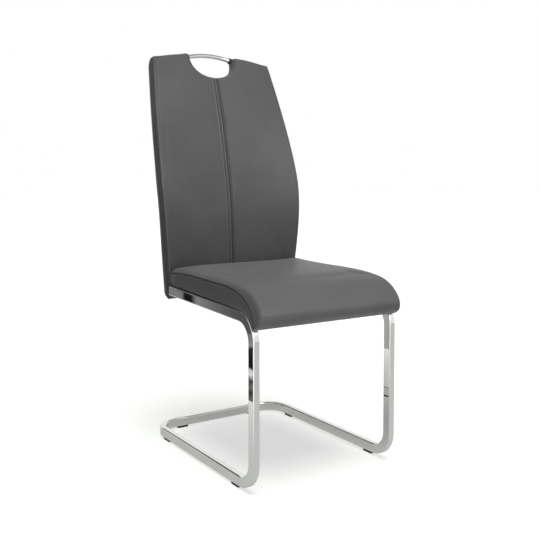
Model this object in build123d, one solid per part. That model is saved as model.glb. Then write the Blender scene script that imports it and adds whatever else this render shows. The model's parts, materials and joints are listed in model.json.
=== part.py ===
"""Upholstered cantilever dining chair: bent chromed tube frame, padded seat and padded
back with a grip cut-out. Millimetres, +Z up, the front of the chair towards -Y.

The model is laid out with the front faces of the legs at Y 0 and the floor at Z 0. At the
end every piece is moved so that the origin is the bottom centre of the whole chair.
"""
from build123d import *
import math
import os

# Chromed frame, one tube bent in six places
FRAME_WIDTH = 400.0        # over the outer faces of the legs
BASE_DEPTH = 520.0         # leg front to the rear of the floor bar
TUBE_WIDTH = 16.0          # across the chair
TUBE_DEPTH = 24.0          # in the plane of a side
TUBE_WALL = 1.5
TUBE_CORNER = 3.0
RAIL_TOP = 395.5           # top of the seat rail where its front bend ends
RAIL_PITCH = 2.3           # rise of the rail towards the back, degrees
TOP_BEND = 54.0            # radii of the tube's centre line
FLOOR_BEND = 52.0
REAR_BEND = 60.0

# Floor glides and rail end plugs
GLIDE_HEIGHT = 4.5
GLIDE_LENGTH = 30.0
GLIDE_WIDTH = 14.0
GLIDE_EDGE = 1.0
GLIDE_CLEARANCE = 4.0      # from the end of a bend to the glide
PEG_RADIUS = 2.5
PEG_HEIGHT = 7.0
PLUG_FLANGE = 3.0
PLUG_DEPTH = 14.0
PLUG_GAP = 2.0             # from the plug to the padded back
FIT_GAP = 0.1              # slip fit between hard pieces

# Cross straps welded between the rails, and the brackets that carry the back
STRAP_WIDTH = 30.0
STRAP_THICKNESS = 5.0
FRONT_STRAP_Y = 130.0
REAR_STRAP_Y = 350.0
BRACKET_X = 110.0
BRACKET_WIDTH = 30.0
BRACKET_THICKNESS = 5.0
BRACKET_TOP_GAP = 40.0     # upright leg stops below the panel's lower bend
BRACKET_OVERHANG = 10.0    # in front of the front strap
SLOT_GAP = 0.5             # round a bracket where it enters the padding

# Seat, measured from the rails
SEAT_WIDTH = 404.0         # at the front corners
SEAT_REAR_WIDTH = 396.0
SEAT_DRAW_IN = 1.2         # of the sides, halfway along
SEAT_GAP = 5.0             # between seat and back
SEAT_SEAM = 42.0           # height of the side seam above the rail
SEAT_SHOULDER = 50.5       # height of the top panel beside the seam
SEAT_CROWN = 4.0           # of the middle above the shoulders
SEAT_LIP_SEAM = 8.0        # seam height at the front lip
SEAT_LIP_SHOULDER = 22.0
SEAT_LIP_ANGLE = 61.0      # how far the seat wraps round the front bend
LIP_POWER = 4.0            # how late the front rounds off
FLAT_STEPS = 4             # sections along the rail and round the bend, less one
BEND_STEPS = 5
SEAT_ROLL = 20.0           # width of the rounded shoulder
SEAT_UNDERCUT = 1.5        # the side leans in towards the rail
SEAT_SIDE_BULGE = 1.5
SEAT_LIFT = 0.4            # seat clear of the rail
COVER_THICKNESS = 1.2
COVER_GAP = 0.2            # between cover and foam
COVER_RETURN = 30.0        # cover turned in under the seat
COVER_FRONT_RETURN = 20.0  # kept behind the front bend
BOARD_THICKNESS = 9.0
BOARD_GAP = 0.3
BOARD_LIP_ANGLE = 48.0     # how far the board follows the front bend
DUST_THICKNESS = 0.8

# Padded back, measured from the floor and from the leg fronts
BACK_BOTTOM = 376.0
BACK_TOP = 1021.0          # height of the handle's ends
BACK_WIDTH = 424.0         # where it is widest
BACK_TOP_WIDTH = 362.0
BACK_BOTTOM_WIDTH = 378.0
WIDEST_HEIGHT = 670.0
TAPER_POWER = 1.55
BACK_SETBACK = 385.5       # where the two leans of the front edge cross
LUMBAR_HEIGHT = 640.0
LOWER_LEAN = -5.9          # degrees, forward
UPPER_LEAN = 21.6
LUMBAR_SOFTNESS = 107.0
BACK_HOLLOW = 26.0         # middle set behind the front edges
HOLLOW_HEIGHT = 650.0
HOLLOW_SPREAD = 190.0
BACK_PILLOW = 1.5          # swell of each half beside the centre seam
PILLOW_DEPTH = 0.75        # share of the hollow reached halfway to the seam
BACK_BOTTOM_DEPTH = 46.5
BACK_TOP_DEPTH = 39.0
REAR_CROWN = 5.0
REAR_FOLLOW = 0.6          # share of the hollow that the rear face follows
BACK_EDGE = 8.0            # rounding of the upright edges
BACK_FOOT = 14.0           # rounding of the lower end
BACK_CORNER = 20.0         # rounding of the top corners
CORNER_LAP = 0.6           # how far that rounding starts outside the side
TOP_CROWN = 8.0            # top edge above the handle's ends
TOP_ARC = 750.0
BACK_STEPS = 8             # sections of the padded body, less one
BASE_CLOTH = 0.8           # closes the lower end

# Moulded panel inside the back
PANEL_THICKNESS = 8.0
PANEL_MARGIN = 6.0
FOAM_DEPTH = 9.0           # padding in front of the panel
PANEL_LOW_BEND = 560.0
PANEL_HIGH_BEND = 720.0
PANEL_BEND_RADIUS = 400.0
PANEL_CLEARANCE = 4.0      # above the brackets
PANEL_CUT_MARGIN = 9.0     # round the grip cut-out

# Grip cut-out and handle
CUT_WIDTH = 138.0
CUT_DEPTH = 58.0
HANDLE_DIAMETER = 12.0
HANDLE_DROP = 2.0          # handle's end below the cut-out's corner
HANDLE_RISE = 10.0
HANDLE_TANG = 28.0
FERRULE_DIAMETER = 17.0
FERRULE_LENGTH = 22.0
FERRULE_PROUD = 4.0
BLOCK_START = 6.0
BLOCK_LENGTH = 34.0
BLOCK_HEIGHT = 20.0
BLOCK_DEPTH = 20.0

# Fasteners
BOLT_DIAMETER = 6.0
BOLT_HEAD = 13.0
BOLT_HEAD_HEIGHT = 3.5
HEX_KEY = 4.0
HEX_DEPTH = 2.0
WASHER_DIAMETER = 16.0
WASHER_THICKNESS = 1.2
NUT_FLANGE = 18.0
NUT_FLANGE_THICKNESS = 1.5
NUT_BARREL = 8.0
NUT_LENGTH = 7.0
RAIL_SCREW_Y = 352.0
RAIL_SCREW_INSET = 2.0     # towards the middle from the tube's centre
RAIL_SCREW_DIAMETER = 4.5
RAIL_SCREW_HEAD = 9.0
RAIL_SCREW_HEAD_HEIGHT = 2.6
RAIL_SCREW_BITE = 6.0      # into the seat board
HANDLE_SCREW_DIAMETER = 4.0
HANDLE_SCREW_HEAD = 8.0
HANDLE_SCREW_HEAD_HEIGHT = 2.5
HANDLE_SCREW_BITE = 10.0   # into the handle
BACK_BOLT_LOW = 32.0       # above the rail
BACK_BOLT_EDGE = 18.0      # below the top of the bracket
REACH = 400.0              # longer than any cut needs

SIDES = (-1, 1)

# Places worked out from the frame
tube_x = FRAME_WIDTH / 2 - TUBE_WIDTH / 2
rail_inner_x = FRAME_WIDTH / 2 - TUBE_WIDTH
leg_y = TUBE_DEPTH / 2
runner_z = GLIDE_HEIGHT + TUBE_DEPTH / 2
bar_y = BASE_DEPTH - TUBE_WIDTH / 2
bend_y = leg_y + TOP_BEND
bend_z = RAIL_TOP - TUBE_DEPTH / 2 - TOP_BEND
bend_outer = TOP_BEND + TUBE_DEPTH / 2
strap_top = RAIL_TOP - BRACKET_THICKNESS
pitch_axis = Axis((0, bend_y, bend_z), (1, 0, 0))


def on_rail(shape):
    """Tilt a piece that is drawn on a level rail to the rail's pitch."""
    return shape.rotate(pitch_axis, RAIL_PITCH)


def rail_point(y, z):
    """Y and Z of a point that is given on a level rail."""
    pitch = math.radians(RAIL_PITCH)
    along = y - bend_y
    above = z - bend_z
    return (
        bend_y + along * math.cos(pitch) - above * math.sin(pitch),
        bend_z + along * math.sin(pitch) + above * math.cos(pitch),
    )


# Shape of the padded back, as functions of the height
def edge_y(z):
    """Front edge of the back: two leans with a soft bend at the lumbar height."""
    rise = z - LUMBAR_HEIGHT
    low = math.tan(math.radians(LOWER_LEAN))
    high = math.tan(math.radians(UPPER_LEAN))
    bend = math.hypot(rise, LUMBAR_SOFTNESS)
    return BACK_SETBACK + (low + high) / 2 * rise + (high - low) / 2 * bend


def hollow(z):
    return BACK_HOLLOW * math.exp(-(((z - HOLLOW_HEIGHT) / HOLLOW_SPREAD) ** 2))


def centre_y(z):
    return edge_y(z) + hollow(z)


def half_width(z):
    """Half the width of the back, widest at WIDEST_HEIGHT and tapered both ways."""
    if z < WIDEST_HEIGHT:
        end, span = BACK_BOTTOM_WIDTH, WIDEST_HEIGHT - BACK_BOTTOM
    else:
        end, span = BACK_TOP_WIDTH, BACK_TOP - WIDEST_HEIGHT
    share = abs(z - WIDEST_HEIGHT) / span
    return (BACK_WIDTH - (BACK_WIDTH - end) * share**TAPER_POWER) / 2


def side_depth(z):
    share = (z - BACK_BOTTOM) / (BACK_TOP - BACK_BOTTOM)
    return BACK_BOTTOM_DEPTH + (BACK_TOP_DEPTH - BACK_BOTTOM_DEPTH) * share


def corner_arc(x, y, way_x, way_y, radius):
    """Quarter arc from beside (x, y) along X to beside it along Y, seen from the inside."""
    bite = radius * (1 - math.sqrt(0.5))
    return ThreePointArc(
        (x - way_x * radius, y), (x - way_x * bite, y - way_y * bite), (x, y - way_y * radius)
    )


def back_section(z, inset):
    """Level section of the back: two pillowed halves in front, a crowned rear face."""
    wide = half_width(z) - inset
    front = edge_y(z) + inset
    middle = centre_y(z) + inset
    rear = edge_y(z) + side_depth(z) - inset
    crown = rear + REAR_CROWN + REAR_FOLLOW * hollow(z)
    quarter = front + PILLOW_DEPTH * (middle - front) - BACK_PILLOW
    radius = BACK_EDGE - inset
    flat = wide - radius
    outline = [
        ThreePointArc((-flat, front), (-flat / 2, quarter), (0, middle)),
        ThreePointArc((0, middle), (flat / 2, quarter), (flat, front)),
        corner_arc(wide, front, 1, -1, radius),
        Line((wide, front + radius), (wide, rear - radius)),
        corner_arc(wide, rear, 1, 1, radius),
        ThreePointArc((flat, rear), (0, crown), (-flat, rear)),
        corner_arc(-wide, rear, -1, 1, radius),
        Line((-wide, rear - radius), (-wide, front + radius)),
        corner_arc(-wide, front, -1, -1, radius),
    ]
    return Pos(0, 0, z) * make_face(outline)


def back_loft(inset):
    """Padded body through level sections at even steps, taller than the finished back."""
    bottom = BACK_BOTTOM - BACK_FOOT
    step = (BACK_TOP + 2 * TOP_CROWN - bottom) / BACK_STEPS
    return loft([back_section(bottom + step * count, inset) for count in range(BACK_STEPS + 1)])


# Plane of the handle: across the chair and up the lean of the back, halfway through it
lean = math.radians(UPPER_LEAN)
handle_plane = Plane(
    origin=(0, edge_y(BACK_TOP) + side_depth(BACK_TOP) / 2, BACK_TOP),
    x_dir=(1, 0, 0),
    z_dir=(0, -math.cos(lean), math.sin(lean)),
)


def top_trim(inset):
    """Prism that gives the back its arched top edge and rounded top corners."""
    arch = Pos(0, TOP_CROWN - TOP_ARC) * Circle(TOP_ARC - inset)
    middle = half_width(BACK_TOP) - BACK_CORNER + CORNER_LAP
    sink = math.sqrt(TOP_ARC**2 - middle**2) - TOP_ARC
    for side in SIDES:
        spot = Pos(side * middle, TOP_CROWN + sink - BACK_CORNER)
        square = Pos(side * BACK_WIDTH / 2, BACK_WIDTH / 2) * Rectangle(BACK_WIDTH, BACK_WIDTH)
        arch -= spot * (square - Circle(BACK_CORNER - inset))
    return extrude(handle_plane * arch, REACH, both=True)


foot_front = edge_y(BACK_BOTTOM)
foot_rear = foot_front + side_depth(BACK_BOTTOM) + REAR_CROWN


def foot_trim(inset):
    """Prism that rounds the lower end of the back, seen from the side."""
    depth = foot_rear - foot_front - 2 * inset
    middle = (foot_rear + foot_front) / 2
    low = BACK_BOTTOM + inset
    foot = Pos(middle, low + 2 * BACK_FOOT) * RectangleRounded(depth, 4 * BACK_FOOT, BACK_FOOT - inset)
    rest = Pos(middle, low + BACK_FOOT + BACK_TOP) * Rectangle(2 * REACH, 2 * BACK_TOP)
    return extrude(Plane.YZ * (foot + rest), REACH, both=True)


def back_body(inset):
    """The padded back without its cut-out, drawn in by inset all round."""
    return back_loft(inset) & top_trim(inset) & foot_trim(inset)


def grip_cut(inset):
    """Prism of the cut-out, made smaller by inset."""
    half = CUT_WIDTH / 2 - inset
    depth = CUT_DEPTH - inset
    radius = (half**2 + depth**2) / (2 * depth)
    bowl = Pos(0, radius - depth) * Circle(radius) & Pos(0, -depth) * Rectangle(2 * half, 2 * depth)
    mouth = Pos(0, depth) * Rectangle(2 * half, 2 * depth)
    return extrude(handle_plane * (bowl + mouth), REACH, both=True)


# Fasteners, each drawn with the face that it clamps at Z 0 and its shank upwards
def bolt(length):
    head = Pos(0, 0, -BOLT_HEAD_HEIGHT) * extrude(Circle(BOLT_HEAD / 2), BOLT_HEAD_HEIGHT)
    rim = head.edges().group_by(Axis.Z)[0]
    head = fillet(rim, BOLT_HEAD_HEIGHT / 2)
    key = Pos(0, 0, -BOLT_HEAD_HEIGHT) * extrude(RegularPolygon(HEX_KEY / 2, 6), HEX_DEPTH)
    return head - key + extrude(Circle(BOLT_DIAMETER / 2), length)


def washer():
    ring = Circle(WASHER_DIAMETER / 2) - Circle(BOLT_DIAMETER / 2 + FIT_GAP)
    return extrude(ring, WASHER_THICKNESS)


def tee_nut():
    """Flange at and above Z 0, threaded barrel below."""
    flange = extrude(Circle(NUT_FLANGE / 2), NUT_FLANGE_THICKNESS)
    barrel = extrude(Circle(NUT_BARREL / 2), -NUT_LENGTH)
    hole = extrude(Circle(BOLT_DIAMETER / 2 + FIT_GAP), REACH, both=True)
    return flange + barrel - hole


def screw(diameter, length, head, head_height):
    top = extrude(Circle(head / 2), -head_height)
    rim = top.edges().group_by(Axis.Z)[0]
    return fillet(rim, head_height / 2) + extrude(Circle(diameter / 2), length)


def rod(radius):
    """Cutter for a hole along Z."""
    return extrude(Circle(radius), REACH, both=True)


# Frame: tube along its centre line, with holes for the screws and the glide pegs
rail_back_y = edge_y(RAIL_TOP) - PLUG_GAP - PLUG_FLANGE
rail_axis_z = RAIL_TOP - TUBE_DEPTH / 2
bend_end_y, bend_end_z = rail_point(bend_y, rail_axis_z)
corner_z = bend_end_z - (bend_end_y - leg_y) * math.tan(math.radians(RAIL_PITCH))


def side_points(side):
    """Corners of the tube's centre line on one side, from the rail to the floor bar."""
    x = side * tube_x
    return [
        (x, *rail_point(rail_back_y, rail_axis_z)),
        (x, leg_y, corner_z),
        (x, leg_y, runner_z),
        (x, bar_y, runner_z),
    ]


bends = [TOP_BEND, FLOOR_BEND, REAR_BEND]
centre_line = FilletPolyline(*side_points(-1), *side_points(1)[::-1], radius=bends + bends[::-1])


def tube_section(inset):
    return RectangleRounded(TUBE_WIDTH - 2 * inset, TUBE_DEPTH - 2 * inset, TUBE_CORNER - inset)


start = Plane(origin=centre_line @ 0, x_dir=(1, 0, 0), z_dir=centre_line % 0)
frame_tube = sweep(start * (tube_section(0) - tube_section(TUBE_WALL)), path=centre_line)

glide_front = leg_y + FLOOR_BEND + GLIDE_CLEARANCE + GLIDE_LENGTH / 2
glide_rear = bar_y - REAR_BEND - GLIDE_CLEARANCE - GLIDE_LENGTH / 2
glide_bar = tube_x - REAR_BEND - GLIDE_CLEARANCE - GLIDE_LENGTH / 2
glide_spots = [Pos(side * tube_x, y, 0) for side in SIDES for y in (glide_front, glide_rear)]
glide_spots += [Pos(side * glide_bar, bar_y, 0) * Rot(0, 0, 90) for side in SIDES]

rail_screw_x = tube_x - RAIL_SCREW_INSET
rail_screw_spots = [Pos(side * rail_screw_x, RAIL_SCREW_Y, RAIL_TOP - TUBE_DEPTH) for side in SIDES]
for spot in rail_screw_spots:
    hole = extrude(Circle(RAIL_SCREW_DIAMETER / 2 + FIT_GAP), 2 * TUBE_DEPTH)
    frame_tube -= on_rail(spot * Pos(0, 0, -TUBE_DEPTH / 2) * hole)
for spot in glide_spots:
    frame_tube -= spot * extrude(Circle(PEG_RADIUS), GLIDE_HEIGHT + TUBE_DEPTH / 2)

# Glides: a pad under the tube with a peg through its lower wall
pad = extrude(Rectangle(GLIDE_WIDTH, GLIDE_LENGTH), GLIDE_HEIGHT)
pad = fillet(pad.edges().group_by(Axis.Z)[0] + pad.edges().filter_by(Axis.Z), GLIDE_EDGE)
glide = pad + extrude(Circle(PEG_RADIUS), PEG_HEIGHT)
floor_glides = [spot * glide for spot in glide_spots]

# Plugs: a flange over each rail end and a body inside the tube
plug_face = Plane(origin=(0, rail_back_y, rail_axis_z), x_dir=(1, 0, 0), z_dir=(0, 1, 0))
plug = extrude(plug_face * tube_section(0), PLUG_FLANGE)
plug += extrude(plug_face * tube_section(TUBE_WALL + FIT_GAP), -PLUG_DEPTH)
rail_end_plugs = [on_rail(Pos(side * tube_x, 0, 0) * plug) for side in SIDES]

# Straps between the rails
strap = Pos(0, 0, strap_top - STRAP_THICKNESS) * extrude(
    Rectangle(2 * rail_inner_x, STRAP_WIDTH), STRAP_THICKNESS
)
bracket_spots = [(side * BRACKET_X, y) for side in SIDES for y in (FRONT_STRAP_Y, REAR_STRAP_Y)]
strap_holes = [Pos(x, y, 0) * rod(BOLT_DIAMETER / 2 + FIT_GAP) for x, y in bracket_spots]
bolt_holes = Part() + strap_holes
front_strap = on_rail(Pos(0, FRONT_STRAP_Y, 0) * strap - bolt_holes)
rear_strap = on_rail(Pos(0, REAR_STRAP_Y, 0) * strap - bolt_holes)

# Panel of the back: a bent slab whose front line follows the hollow of the back
panel_heights = (BACK_BOTTOM, PANEL_LOW_BEND, PANEL_HIGH_BEND, BACK_TOP + 2 * TOP_CROWN)
panel_points = [(centre_y(z) + FOAM_DEPTH, z) for z in panel_heights]


def offset_points(points, distance):
    """Move a line of points to its rear side by a distance."""
    normals = []
    for (y0, z0), (y1, z1) in zip(points, points[1:]):
        length = math.hypot(y1 - y0, z1 - z0)
        normals.append(((z1 - z0) / length, (y0 - y1) / length))
    moved = []
    for count, (y, z) in enumerate(points):
        before = normals[max(count - 1, 0)]
        after = normals[min(count, len(normals) - 1)]
        scale = distance / (1 + before[0] * after[0] + before[1] * after[1])
        moved.append((y + scale * (before[0] + after[0]), z + scale * (before[1] + after[1])))
    return moved


def behind_panel(distance):
    """Everything behind the panel's front line moved back by a distance."""
    points = offset_points(panel_points, distance)
    line = FilletPolyline(*points, radius=PANEL_BEND_RADIUS)
    far = points[-1][0] + REACH
    rest = Polyline(points[-1], (far, points[-1][1]), (far, points[0][1]), points[0])
    return extrude(Plane.YZ * make_face(line.edges() + rest.edges()), REACH, both=True)


# Brackets: a level leg on both straps and an upright leg behind the panel
foot_line = offset_points(panel_points[:2], PANEL_THICKNESS)
foot_lean = math.degrees(math.atan2(foot_line[1][0] - foot_line[0][0], PANEL_LOW_BEND - BACK_BOTTOM))
rail_rear_top = rail_point(foot_line[0][0], RAIL_TOP)[1]
foot_y = foot_line[0][0] + (rail_rear_top - foot_line[0][1]) * math.tan(math.radians(foot_lean))
upright_frame = Pos(0, foot_y, rail_rear_top) * Rot(-foot_lean, 0, 0)
upright_height = PANEL_LOW_BEND - BRACKET_TOP_GAP - rail_rear_top
leg_front = FRONT_STRAP_Y - STRAP_WIDTH / 2 - BRACKET_OVERHANG
leg_rear = foot_y + BRACKET_THICKNESS


def bracket_body(gap):
    """Bracket on the middle plane, grown by gap for the slots that it passes through."""
    wide = BRACKET_WIDTH + 2 * gap
    thick = BRACKET_THICKNESS + 2 * gap
    length = leg_rear - leg_front
    level = Pos(0, leg_front + length / 2, strap_top - gap) * extrude(Rectangle(wide, length), thick)
    tall = upright_height + BRACKET_THICKNESS + gap
    plate = Pos(0, BRACKET_THICKNESS / 2, -BRACKET_THICKNESS) * extrude(Rectangle(wide, thick), tall)
    return on_rail(level) + upright_frame * plate


back_bolt_heights = (BACK_BOLT_LOW, upright_height - BACK_BOLT_EDGE)
# Seats of the back bolts on the rear of the brackets, shank pointing forward
back_bolt_seats = [
    Pos(side * BRACKET_X, 0, 0) * upright_frame * Pos(0, BRACKET_THICKNESS, height) * Rot(90, 0, 0)
    for side in SIDES
    for height in back_bolt_heights
]
back_bolt_holes = Part() + [seat * rod(BOLT_DIAMETER / 2 + FIT_GAP) for seat in back_bolt_seats]
seat_bolt_holes = on_rail(bolt_holes)


def bracket(side):
    return Pos(side * BRACKET_X, 0, 0) * bracket_body(0) - back_bolt_holes - seat_bolt_holes


left_back_bracket = bracket(-1)
right_back_bracket = bracket(1)
bracket_slots = Part() + [Pos(side * BRACKET_X, 0, 0) * bracket_body(SLOT_GAP) for side in SIDES]

# Back bolts with their washers, and tee nuts in the front of the panel
stack = BRACKET_THICKNESS + PANEL_THICKNESS
washer_down = Pos(0, 0, -WASHER_THICKNESS)
back_bolts = [seat * washer_down * bolt(WASHER_THICKNESS + stack) for seat in back_bolt_seats]
back_washers = [seat * washer_down * washer() for seat in back_bolt_seats]
back_tee_nuts = [seat * Pos(0, 0, stack) * tee_nut() for seat in back_bolt_seats]
head_room = 2 * BOLT_HEAD_HEIGHT
fastener_room = Part() + [
    seat * Pos(0, 0, -head_room) * extrude(Circle(NUT_FLANGE / 2 + SLOT_GAP), head_room)
    for seat in back_bolt_seats
]
nut_room = Part() + [
    seat * Pos(0, 0, stack) * extrude(Circle(NUT_FLANGE / 2 + FIT_GAP), NUT_FLANGE_THICKNESS + FIT_GAP)
    for seat in back_bolt_seats
]
barrel_room = Part() + [
    seat * Pos(0, 0, stack) * extrude(Circle(NUT_BARREL / 2 + FIT_GAP), -NUT_LENGTH)
    for seat in back_bolt_seats
]

# Handle: a bar arched across the cut-out, with straight tangs into the blocks
arch = ThreePointArc(
    (-CUT_WIDTH / 2, -HANDLE_DROP), (0, HANDLE_RISE - HANDLE_DROP), (CUT_WIDTH / 2, -HANDLE_DROP)
)
tang_end = arch @ 1 + (arch % 1) * HANDLE_TANG
tang_start = arch @ 0 - (arch % 0) * HANDLE_TANG
handle_line = Wire([Line(tang_start, arch @ 0).edge(), arch.edge(), Line(arch @ 1, tang_end).edge()])
bar_start = Plane(origin=tang_start, z_dir=arch % 0)
handle_flat = sweep(bar_start * Circle(HANDLE_DIAMETER / 2), path=handle_line)


def socket_plane(side):
    """Plane on a wall of the cut-out, its normal along the handle's tang."""
    end, way = (arch @ 1, arch % 1) if side > 0 else (arch @ 0, (arch % 0) * -1)
    return handle_plane * Plane(origin=end, x_dir=(0, 0, 1), z_dir=way)


sockets = [socket_plane(side) for side in SIDES]
handle_screw_length = BLOCK_START + BLOCK_LENGTH - HANDLE_TANG + HANDLE_SCREW_BITE
handle_screw = Pos(0, 0, BLOCK_START + BLOCK_LENGTH) * Rot(180, 0, 0) * screw(
    HANDLE_SCREW_DIAMETER, handle_screw_length, HANDLE_SCREW_HEAD, HANDLE_SCREW_HEAD_HEIGHT
)
screw_hole = extrude(Circle(HANDLE_SCREW_DIAMETER / 2), BLOCK_START + BLOCK_LENGTH)
bore_hole = extrude(Circle(HANDLE_DIAMETER / 2 + FIT_GAP), HANDLE_TANG + FIT_GAP)
ferrule_body = Pos(0, 0, -FERRULE_PROUD) * extrude(Circle(FERRULE_DIAMETER / 2), FERRULE_LENGTH)
ferrule_room = extrude(Circle(FERRULE_DIAMETER / 2 + FIT_GAP), FERRULE_LENGTH - FERRULE_PROUD)
ferrule_bore = extrude(Circle(HANDLE_DIAMETER / 2 + FIT_GAP), REACH, both=True)
block_body = Pos(0, 0, BLOCK_START) * extrude(Rectangle(BLOCK_DEPTH, BLOCK_HEIGHT), BLOCK_LENGTH)
screw_room = Pos(0, 0, BLOCK_START) * extrude(
    Circle(HANDLE_SCREW_HEAD / 2 + SLOT_GAP), BLOCK_LENGTH + 2 * HANDLE_SCREW_HEAD_HEIGHT
)

handle_bar = handle_plane * handle_flat - [socket * screw_hole for socket in sockets]
handle_screws = [socket * handle_screw for socket in sockets]
handle_ferrules = [socket * (ferrule_body - ferrule_bore) for socket in sockets]
handle_blocks = [socket * (block_body - ferrule_room - bore_hole - screw_hole) for socket in sockets]
handle_room = Part() + [socket * (block_body + ferrule_body + screw_room) for socket in sockets]

# Back: cover as a thin shell, padding before and behind the panel, cloth at the lower end
padding = COVER_THICKNESS + COVER_GAP
base_depth = foot_rear - foot_front - 2 * BACK_FOOT
base_window = Rectangle(BACK_BOTTOM_WIDTH - 2 * COVER_RETURN, base_depth)
base_spot = Pos(0, (foot_rear + foot_front) / 2, BACK_BOTTOM)
base_cut = base_spot * extrude(base_window, COVER_THICKNESS)
lining = back_body(COVER_THICKNESS) - grip_cut(-COVER_THICKNESS)
back_cover = back_body(0) - grip_cut(0) - lining - base_cut - bracket_slots - handle_room
back_base_cloth = base_spot * extrude(offset(base_window, -BOARD_GAP), BASE_CLOTH)

panel_low = rail_rear_top + PANEL_CLEARANCE
above_brackets = Pos(0, 0, panel_low + BACK_TOP / 2) * Box(2 * REACH, 4 * REACH, BACK_TOP)
panel_limit = back_body(PANEL_MARGIN) & above_brackets
panel_limit -= grip_cut(-PANEL_CUT_MARGIN)
panel_blank = (panel_limit & behind_panel(0)) - behind_panel(PANEL_THICKNESS)
back_panel = panel_blank - handle_room - back_bolt_holes - barrel_room
panel_pocket = panel_limit - behind_panel(PANEL_THICKNESS)

core = back_body(padding) - grip_cut(-padding) - bracket_slots - handle_room
back_front_foam = core - behind_panel(-COVER_GAP) - nut_room
rear_parts = (core & behind_panel(0)) - panel_pocket - fastener_room
back_rear_foam = rear_parts.solids().sort_by(SortBy.VOLUME)[-1]  # without loose shreds


# Seat: sections across the cushion, square to the line of the rail and its front bend
seat_rear_y = edge_y(rail_point(rail_back_y, RAIL_TOP + SEAT_SHOULDER)[1]) - SEAT_GAP
flat_length = seat_rear_y - bend_y
bend_length = bend_outer * math.radians(SEAT_LIP_ANGLE)
seat_length = flat_length + bend_length


def seat_plane(along):
    """Plane across the seat at a distance from its rear end, its Y axis away from the rail."""
    if along <= flat_length:
        return Plane((0, seat_rear_y - along, RAIL_TOP), x_dir=(1, 0, 0), z_dir=(0, -1, 0))
    turn = (along - flat_length) / bend_outer
    origin = (0, bend_y - bend_outer * math.sin(turn), bend_z + bend_outer * math.cos(turn))
    return Plane(origin, x_dir=(1, 0, 0), z_dir=(0, -math.cos(turn), -math.sin(turn)))


def seat_half_width(along):
    share = along / seat_length
    straight = SEAT_REAR_WIDTH + (SEAT_WIDTH - SEAT_REAR_WIDTH) * share
    return straight / 2 - SEAT_DRAW_IN * math.sin(math.pi * share)


def lip_share(along):
    """0 on the rail, growing round the bend to 1 at the lip."""
    return max(along - flat_length, 0.0) / bend_length


def seat_section(along, inset):
    """Cushion section: boxed sides that lean in, rounded shoulders and a crowned top."""
    lip = lip_share(along)
    wide = seat_half_width(along) - inset
    seam = SEAT_SEAM + (SEAT_LIP_SEAM - SEAT_SEAM) * lip
    top = SEAT_SHOULDER + (SEAT_LIP_SHOULDER - SEAT_SHOULDER) * lip**LIP_POWER - inset
    low = SEAT_LIFT + inset
    foot = wide - SEAT_UNDERCUT
    edge = wide - SEAT_ROLL
    side_x = (wide + foot) / 2 + SEAT_SIDE_BULGE
    side_y = (low + seam) / 2
    roll_x = edge + SEAT_ROLL * math.sqrt(0.5)
    roll_y = seam + (top - seam) * math.sqrt(0.5)
    outline = [
        Line((-foot, low), (foot, low)),
        ThreePointArc((foot, low), (side_x, side_y), (wide, seam)),
        ThreePointArc((wide, seam), (roll_x, roll_y), (edge, top)),
        ThreePointArc((edge, top), (0, top + SEAT_CROWN), (-edge, top)),
        ThreePointArc((-edge, top), (-roll_x, roll_y), (-wide, seam)),
        ThreePointArc((-wide, seam), (-side_x, side_y), (-foot, low)),
    ]
    return seat_plane(along) * make_face(outline)


def seat_loft(inset):
    """Cushion: one loft along the rail, drawn in by inset at its ends, and one round the bend."""
    flat = [inset + (flat_length - inset) * count / FLAT_STEPS for count in range(FLAT_STEPS + 1)]
    lip = seat_length - inset
    bent = [flat_length + (lip - flat_length) * count / BEND_STEPS for count in range(BEND_STEPS + 1)]
    rear = loft([seat_section(along, inset) for along in flat])
    return rear + loft([seat_section(along, inset) for along in bent])


def seat_layer(low, high, half, end_angle):
    """Layer that follows the rail and its front bend, between two heights above them."""
    level = Pos((bend_y + seat_rear_y) / 2, RAIL_TOP + (low + high) / 2)
    flat = level * Rectangle(flat_length, high - low)
    turn = math.radians(end_angle)
    tip = (bend_y - REACH * math.sin(turn), bend_z + REACH * math.cos(turn))
    wedge = Polygon((bend_y, bend_z), (bend_y, bend_z + REACH), tip, align=None)
    ring = Pos(bend_y, bend_z) * (Circle(bend_outer + high) - Circle(bend_outer + low))
    return extrude(Plane.YZ * (flat + (ring & wedge)), half, both=True)


board_low = SEAT_LIFT + COVER_THICKNESS + COVER_GAP
board_top = board_low + BOARD_THICKNESS
board_half = SEAT_REAR_WIDTH / 2 - SEAT_UNDERCUT - SEAT_DRAW_IN - COVER_THICKNESS - BOARD_GAP
seat_nut_spots = [Pos(x, y, RAIL_TOP + board_top) for x, y in bracket_spots]
seat_nut_room = Part() + [
    spot * extrude(Circle(NUT_FLANGE / 2 + FIT_GAP), NUT_FLANGE_THICKNESS + FIT_GAP)
    for spot in seat_nut_spots
]
seat_barrel_room = Part() + [
    spot * extrude(Circle(NUT_BARREL / 2 + FIT_GAP), -NUT_LENGTH) for spot in seat_nut_spots
]
rail_screw_reach = TUBE_DEPTH + board_low + RAIL_SCREW_BITE
rail_screw_room = Part() + [
    spot * extrude(Circle(RAIL_SCREW_DIAMETER / 2), rail_screw_reach) for spot in rail_screw_spots
]

board_rear = seat_rear_y - COVER_THICKNESS - BOARD_GAP
rear_stop = Pos(0, board_rear + REACH, RAIL_TOP) * Box(2 * REACH, 2 * REACH, REACH)
seat_board = seat_layer(board_low, board_top, board_half, BOARD_LIP_ANGLE) - rear_stop
seat_board = seat_board - bolt_holes - seat_barrel_room - rail_screw_room
foam_cut = seat_layer(0, board_top, board_half + BOARD_GAP, BOARD_LIP_ANGLE)
seat_foam = seat_loft(padding) - foam_cut - seat_nut_room

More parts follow.
